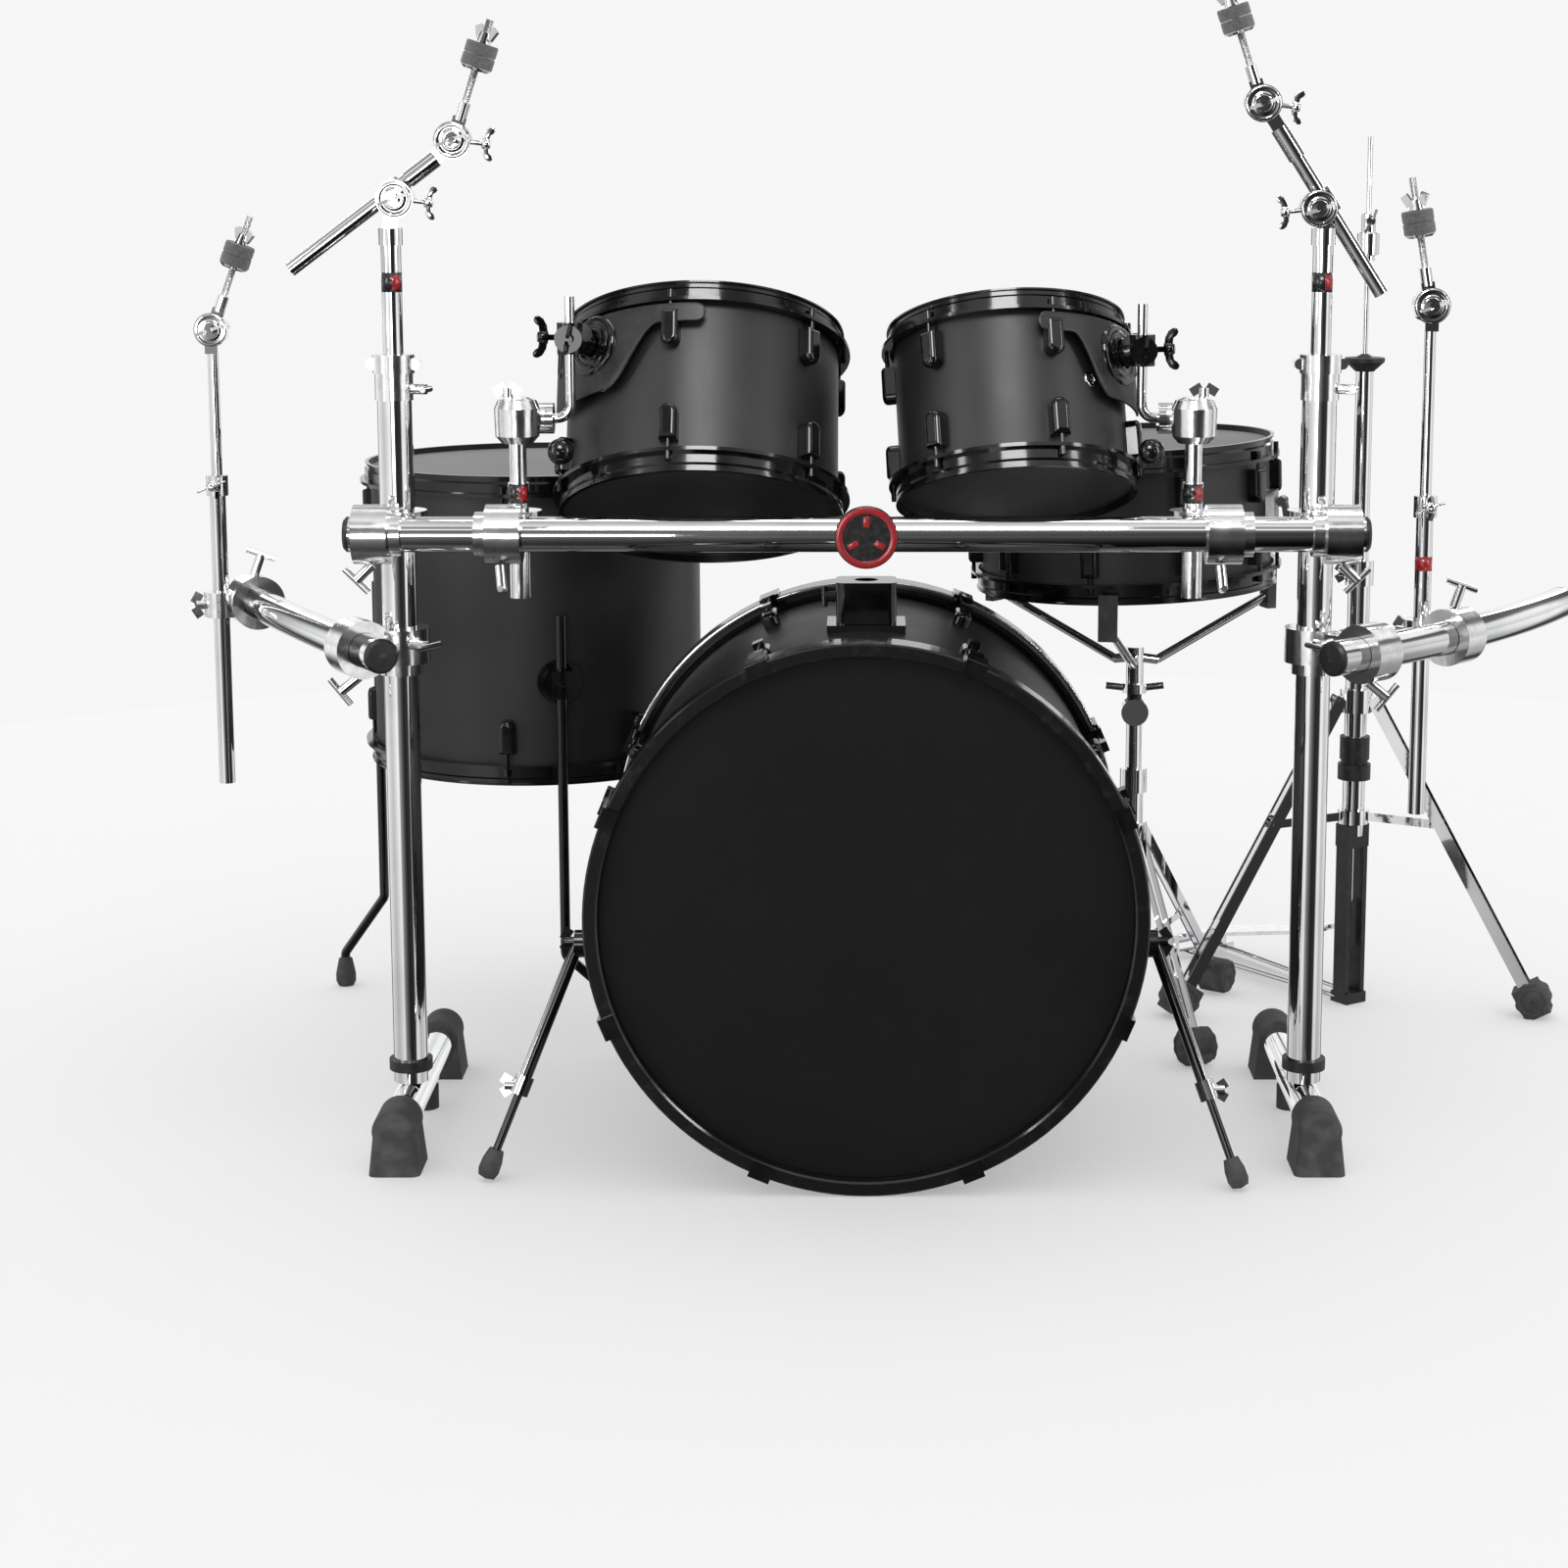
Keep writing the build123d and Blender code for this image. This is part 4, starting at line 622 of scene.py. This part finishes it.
def makePlate(hand):
    facts, spread = tomSet[hand], reach[hand]
    base = tomFrame(hand)
    half = facts["depth"] / 2
    radius = facts["radius"] + plate["out"]
    bm = bmesh.new()
    columns = []
    steps = 48
    for step in range(steps + 1):
        share = step / steps
        angle = math.radians(spread["tip"] + (spread["end"] - spread["tip"]) * share)
        bend = (spread["wide"] - spread["tip"]) / (spread["end"] - spread["tip"])
        grow = min(max((share - bend * 0.45) / (bend * 0.55), 0), 1)
        tall = plate["slim"] + (plate["deep"] - plate["slim"]) * grow * grow * (3 - 2 * grow)
        tip = math.sqrt(max(0.0, 1 - (1 - min(share / 0.05, 1)) ** 2))  # rounded end
        top = half - plate["under"] - plate["slim"] * 0.5 * (1 - tip)
        column = []
        for row in range(plate["rows"]):
            down = (tall if share > 0.05 else plate["slim"] * tip) * row / (plate["rows"] - 1)
            corner = Vector((radius * math.cos(angle), radius * math.sin(angle), top - down))
            column.append(bm.verts.new(base @ corner))
        columns.append(column)
    for here, there in zip(columns, columns[1:]):
        for row in range(plate["rows"] - 1):
            bm.faces.new((here[row], there[row], there[row + 1], here[row + 1]))
    bmesh.ops.remove_doubles(bm, verts=bm.verts, dist=0.00005)
    made = piece(f"tom_plate_{hand}", smoothMesh(f"tom_plate_{hand}", bm), f"tom_{hand}", "plastic")
    thick = made.modifiers.new("thick", "SOLIDIFY")
    thick.thickness = plate["thick"]
    thick.offset = 0
    roundEdges(made, 0.0007)


tomRod = 0.0055  # the bent rod's radius


def tomRodX(hand):
    low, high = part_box(f"tom_arm_{hand}")
    return high.x - tomRod if hand == "left" else low.x + tomRod


def makeMountRing(hand):
    facts = tomSet[hand]
    base = tomFrame(hand)
    rod = Vector(joints[f"tom_arm_{hand}_tilt"]["pos_m"])
    middle = base.inverted() @ Vector((tomRodX(hand), rod.y, facts["mountZ"]))
    outward = Vector((middle.x, middle.y, 0)).normalized()
    spot = base @ (outward * (facts["radius"] + 0.0152) + Vector((0, 0, middle.z)))
    place = frameOf(spot, base.to_3x3() @ outward)
    outline = [(0.0285, -0.009), (0.0345, -0.009), (0.0362, -0.006), (0.0345, -0.0015), (0.0312, 0.0012),
               (0.0285, -0.0005), (0.0262, 0.0018), (0.0232, 0.0022), (0.0212, 0.0002), (0.0182, 0.0026),
               (0.0158, 0.003), (0.0142, 0.0004), (0.0142, -0.0006), (0.0285, -0.0006)]
    piece(f"mount_ring_{hand}", lathe(f"mount_ring_{hand}", outline, place, 72), f"tom_{hand}", "nickel")


for hand in hands:
    makePlate(hand)
    makeMountRing(hand)
print("tom mounts made")

# wing bolts and knobs

wingShape = dict(screw=0.0026, tail=0.012, hub=0.0058, hubLong=0.009, ear=0.0125, earTall=0.0115,
                 thick=0.0024)


def wingBolt(name, spot, way, body, material="chrome", side=(0, 0, 1), size=1.0):
    shape = {key: value * size for key, value in wingShape.items()}
    place = frameOf(Vector(spot), way, side)
    tail, hub, hubLong = shape["tail"], shape["hub"], shape["hubLong"]
    outline = [(0.0002, 0), (shape["screw"], 0), (shape["screw"], tail), (hub, tail),
               (hub, tail + hubLong * 0.7), (hub * 0.7, tail + hubLong), (0.0002, tail + hubLong)]
    piece(name, lathe(name, outline, place, 32), body, material)
    bm = bmesh.new()
    ear, tall, half = shape["ear"], shape["earTall"], shape["thick"] / 2
    for mirror in (-1, 1):
        lobe = [(hub * 0.6, tail), (hub + ear * 0.35, tail + hubLong * 0.1),
                (hub + ear * 0.8, tail + tall * 0.35), (hub + ear, tail + tall * 0.7),
                (hub + ear * 0.96, tail + tall), (hub + ear * 0.7, tail + tall * 1.12),
                (hub + ear * 0.45, tail + tall * 0.95), (hub + ear * 0.3, tail + tall * 0.7),
                (hub * 0.6, tail + hubLong * 0.8)]
        lows = [bm.verts.new(place @ Vector((x * mirror, -half, z))) for x, z in lobe]
        highs = [bm.verts.new(place @ Vector((x * mirror, half, z))) for x, z in lobe]
        bm.faces.new(lows)
        bm.faces.new(highs[::-1])
        for index in range(len(lobe)):
            other = (index + 1) % len(lobe)
            bm.faces.new((lows[index], highs[index], highs[other], lows[other]))
    made = piece(f"{name}_ears", smoothMesh(f"{name}_ears", bm), body, material)
    roundEdges(made, shape["thick"] * 0.3)


def ball(name, spot, radius, body, material, squash=1.0, axis=(0, -1, 0)):
    steps = 20
    turns = [math.pi * step / steps for step in range(steps + 1)]
    outline = [(max(radius * math.sin(turn), 0.0001), radius * squash * math.cos(turn)) for turn in turns]
    piece(name, lathe(name, outline, frameOf(Vector(spot), axis), 40), body, material)


tilterRim = 0.0195
for hand, side in (("left", 1), ("right", -1)):
    for joint, out in ((f"boom_{hand}_tilt", side), (f"boom_top_{hand}_tilt", 1)):
        facts = joints[joint]
        spot = Vector(facts["pos_m"]) + Vector((tilterRim * out, 0, -0.002))
        wingBolt(f"wing_{joint}", spot, (out, 0, -0.12), facts["parent"])
    pipeSpot = Vector(joints[f"arm_top_{hand}_tilt"]["pos_m"])
    collar = max(corner.co.z for corner in nodes["arm_pipes"].data.vertices if corner.co.x * side < 0) - 0.012
    wingBolt(f"wing_arm_{hand}", (pipeSpot.x, pipeSpot.y - 0.0128, collar), (0, -1, 0), "kit_base",
             side=(1, 0, 0.4))

tomKnob = dict(radius=0.0178, inward=0.006, wingAt=0.016, lowRadius=0.0145, lowDrop=0.034, lowFront=0.028)
for hand, side in (("left", -1), ("right", 1)):
    rodX = tomRodX(hand)
    pivot = Vector(joints[f"tom_arm_{hand}_tilt"]["pos_m"])
    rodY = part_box(f"tom_arm_{hand}")[1].y - tomRod
    middle = Vector((rodX - side * tomKnob["inward"], rodY, tomSet[hand]["mountZ"]))
    ball(f"tom_ball_{hand}", middle, tomKnob["radius"], f"tom_{hand}", "rubber")
    wingBolt(f"tom_wing_{hand}", middle + Vector((side * tomKnob["wingAt"], -0.004, 0)), (side, -0.25, 0.05),
             f"tom_{hand}", "nickel", size=1.25)
    low = Vector((rodX + side * 0.009, pivot.y - tomKnob["lowFront"], pivot.z - tomKnob["lowDrop"]))
    ball(f"arm_knob_{hand}", low, tomKnob["lowRadius"], "kit_base", "nickel", 0.8,
         (0.3, -1, 0.2))

# round rubber pads on the stands' feet

pad = dict(radius=0.0225, half=0.0195, groove=0.0015)


def makePads(node, middle, body, reach):
    spots = {}
    mesh = nodes[node].data
    for face in mesh.polygons:
        away = farFrom(middle, face.center)
        if face.center.z < 0.03 and away > reach:
            turn = round(math.degrees(math.atan2(face.center.y - middle.y, face.center.x - middle.x)) / 60)
            spots.setdefault(turn, []).append(face.center.copy())
    for index, found in enumerate(sorted(spots.values(), key=len, reverse=True)[:3]):
        spot = sum(found, Vector()) / len(found)
        spot.z = pad["radius"] + 0.0004
        out = Vector((spot.x - middle.x, spot.y - middle.y, 0))
        place = frameOf(spot, out.cross(Vector((0, 0, 1))), out)
        radius, half, groove = pad["radius"], pad["half"], pad["groove"]
        outline = [(0.0002, -half), (radius * 0.6, -half), (radius * 0.66, -half + groove),
                   (radius * 0.72, -half), (radius - 0.003, -half), (radius, -half + 0.003),
                   (radius, half - 0.003), (radius - 0.003, half), (radius * 0.72, half),
                   (radius * 0.66, half - groove), (radius * 0.6, half), (0.0002, half)]
        name = f"pad_{node}_{index}"
        piece(name, lathe(name, outline, place, 36, 9, -0.0012), body, "rubber")


makePads("snare_stand", standMiddle, "kit_base", 0.12)
makePads("hihat_legs", hatAxis, "hihat_legs", 0.15)
print("wings, knobs and pads made")

# floor, light and camera

studio = dict(floor=0.6, glow=0.345, floorRadius=2.7, back=0.925, room=1.0)


def makeFloor():
    bm = bmesh.new()
    bmesh.ops.create_circle(bm, cap_ends=True, segments=128, radius=studio["floorRadius"])
    mesh = bpy.data.meshes.new("floor")
    bm.to_mesh(mesh)
    bm.free()
    floor = bpy.data.objects.new("floor", mesh)
    floor.location = (0, 0, -0.0005)
    bpy.context.scene.collection.objects.link(floor)
    s = Surface("pale floor")
    grain = s.noise(3, 2)
    plain = s.mix(grain, studio["floor"], studio["floor"] * 0.985)
    mesh.materials.append(s.feed(Base_Color=plain, Roughness=0.9, Emission_Color=(1, 1, 1, 1),
                                 Emission_Strength=studio["glow"], Specular_IOR_Level=0.1))
    bounce = s.node("LightPath", out="Is Glossy Ray")  # polished pipes mirror the room below it instead
    clear = s.node("BsdfTransparent")
    seen = s.node("MixShader", None, {0: bounce, 1: Tone(s, s.shader.outputs[0]), 2: clear})
    s.tree.links.new(seen.socket, s.tree.nodes["Material Output"].inputs["Surface"])


def makeRoom():  # even white light, with a striped wall that only shows in reflections
    world = bpy.data.worlds.new("studio")
    bpy.context.scene.world = world
    world.use_nodes = True
    s = Surface("studio", world.node_tree)
    s.place = s.node("TexCoord", out="Generated")
    x, y, z = s.parts()
    around = s.maths("ARCTAN2", x, y * -1) / math.tau + 0.5  # 0.5 is straight behind the camera
    wall = s.ramp(around, (0.0, 1.0), (0.06, 1.0), (0.085, 0.08), (0.115, 0.1), (0.14, 1.0), (0.22, 0.8),
                  (0.3, 0.62), (0.36, 0.8), (0.4, 1.0), (0.43, 1.0), (0.445, 0.35), (0.5, 0.1), (0.54, 0.02),
                  (0.62, 0.04), (0.645, 1.0), (0.68, 1.0), (0.73, 0.62), (0.8, 0.8), (0.86, 1.0),
                  (0.885, 0.1), (0.915, 0.1), (0.94, 1.0), (1.0, 1.0))
    ceiling = s.ramp(z, (0.0, 0.3), (0.4, 0.15), (0.5, 0.1), (0.55, 0.95), (0.64, 1.0), (0.68, 0.3),
                     (0.8, 0.3), (0.88, 0.9), (0.95, 0.7), (1.0, 0.5))
    skyward = s.ramp(z, (0.0, 0), (0.3, 0), (0.4, 1))
    edge = s.ramp(z * 0.5 + 0.5, (0.0, 0.1), (0.12, 0.16), (0.3, 0.5), (0.4, 0.95), (0.47, 1), (0.5, 0.75),
                  (0.55, 0.9), (0.6, 1))
    striped = s.mix(skyward, wall * edge, ceiling)
    bounce = s.node("LightPath", out="Is Glossy Ray")
    plain = s.node("LightPath", out="Is Camera Ray")
    seen = s.mix(plain, s.mix(bounce, studio["room"], striped), studio["back"])
    background = s.tree.nodes["Background"]
    s.tree.links.new(seen.socket, background.inputs["Color"])
    background.inputs["Strength"].default_value = 1.0


def softLight(name, place, target, size, bright):  # a softbox that shows in reflections only
    data = bpy.data.lights.new(name, "AREA")
    data.shape = "RECTANGLE"
    data.size, data.size_y = size
    data.energy = bright * math.pi * size[0] * size[1]
    light = bpy.data.objects.new(name, data)
    light.location = place
    light.rotation_euler = (Vector(target) - Vector(place)).to_track_quat("-Z", "Y").to_euler()
    light.visible_diffuse = False
    light.visible_camera = False
    bpy.context.scene.collection.objects.link(light)


eye = dict(back=3.0, up=1.0915, dip=9.053, lens=67.97, shift=(-0.0525, -0.1016))


def makeCamera():
    bassMiddle = drumMiddle("bass")
    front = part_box("bass_hoops")[0].y
    data = bpy.data.cameras.new("camera")
    data.sensor_width = 36
    data.lens = eye["lens"]
    data.shift_x, data.shift_y = eye["shift"]
    data.clip_end = 200
    camera = bpy.data.objects.new("camera", data)
    camera.location = (bassMiddle.x, front - eye["back"], eye["up"])
    camera.rotation_euler = (math.radians(90 - eye["dip"]), 0, 0)
    bpy.context.scene.collection.objects.link(camera)
    bpy.context.scene.camera = camera


makeFloor()
makeRoom()
middle = (0, 0, 0.65)
softLight("key softbox", (-0.1, -2.5, 2.9), middle, (1.2, 1.0), 14)
softLight("low softbox", (-0.9, -3.6, 0.7), middle, (0.9, 0.8), 5)
softLight("left strip", (-2.3, -1.7, 1.5), middle, (0.3, 1.6), 10)
softLight("right strip", (2.4, -1.5, 1.6), middle, (0.3, 1.6), 10)
softLight("overhead strip", (0.1, 0.2, 3.4), middle, (2.2, 0.4), 6)
softLight("back left strip", (-1.9, 2.6, 1.9), middle, (0.4, 1.6), 5)
softLight("back right strip", (2.0, 2.5, 2.0), middle, (0.4, 1.6), 5)
makeCamera()
bpy.context.scene.view_settings.view_transform = "Standard"
print("studio ready")
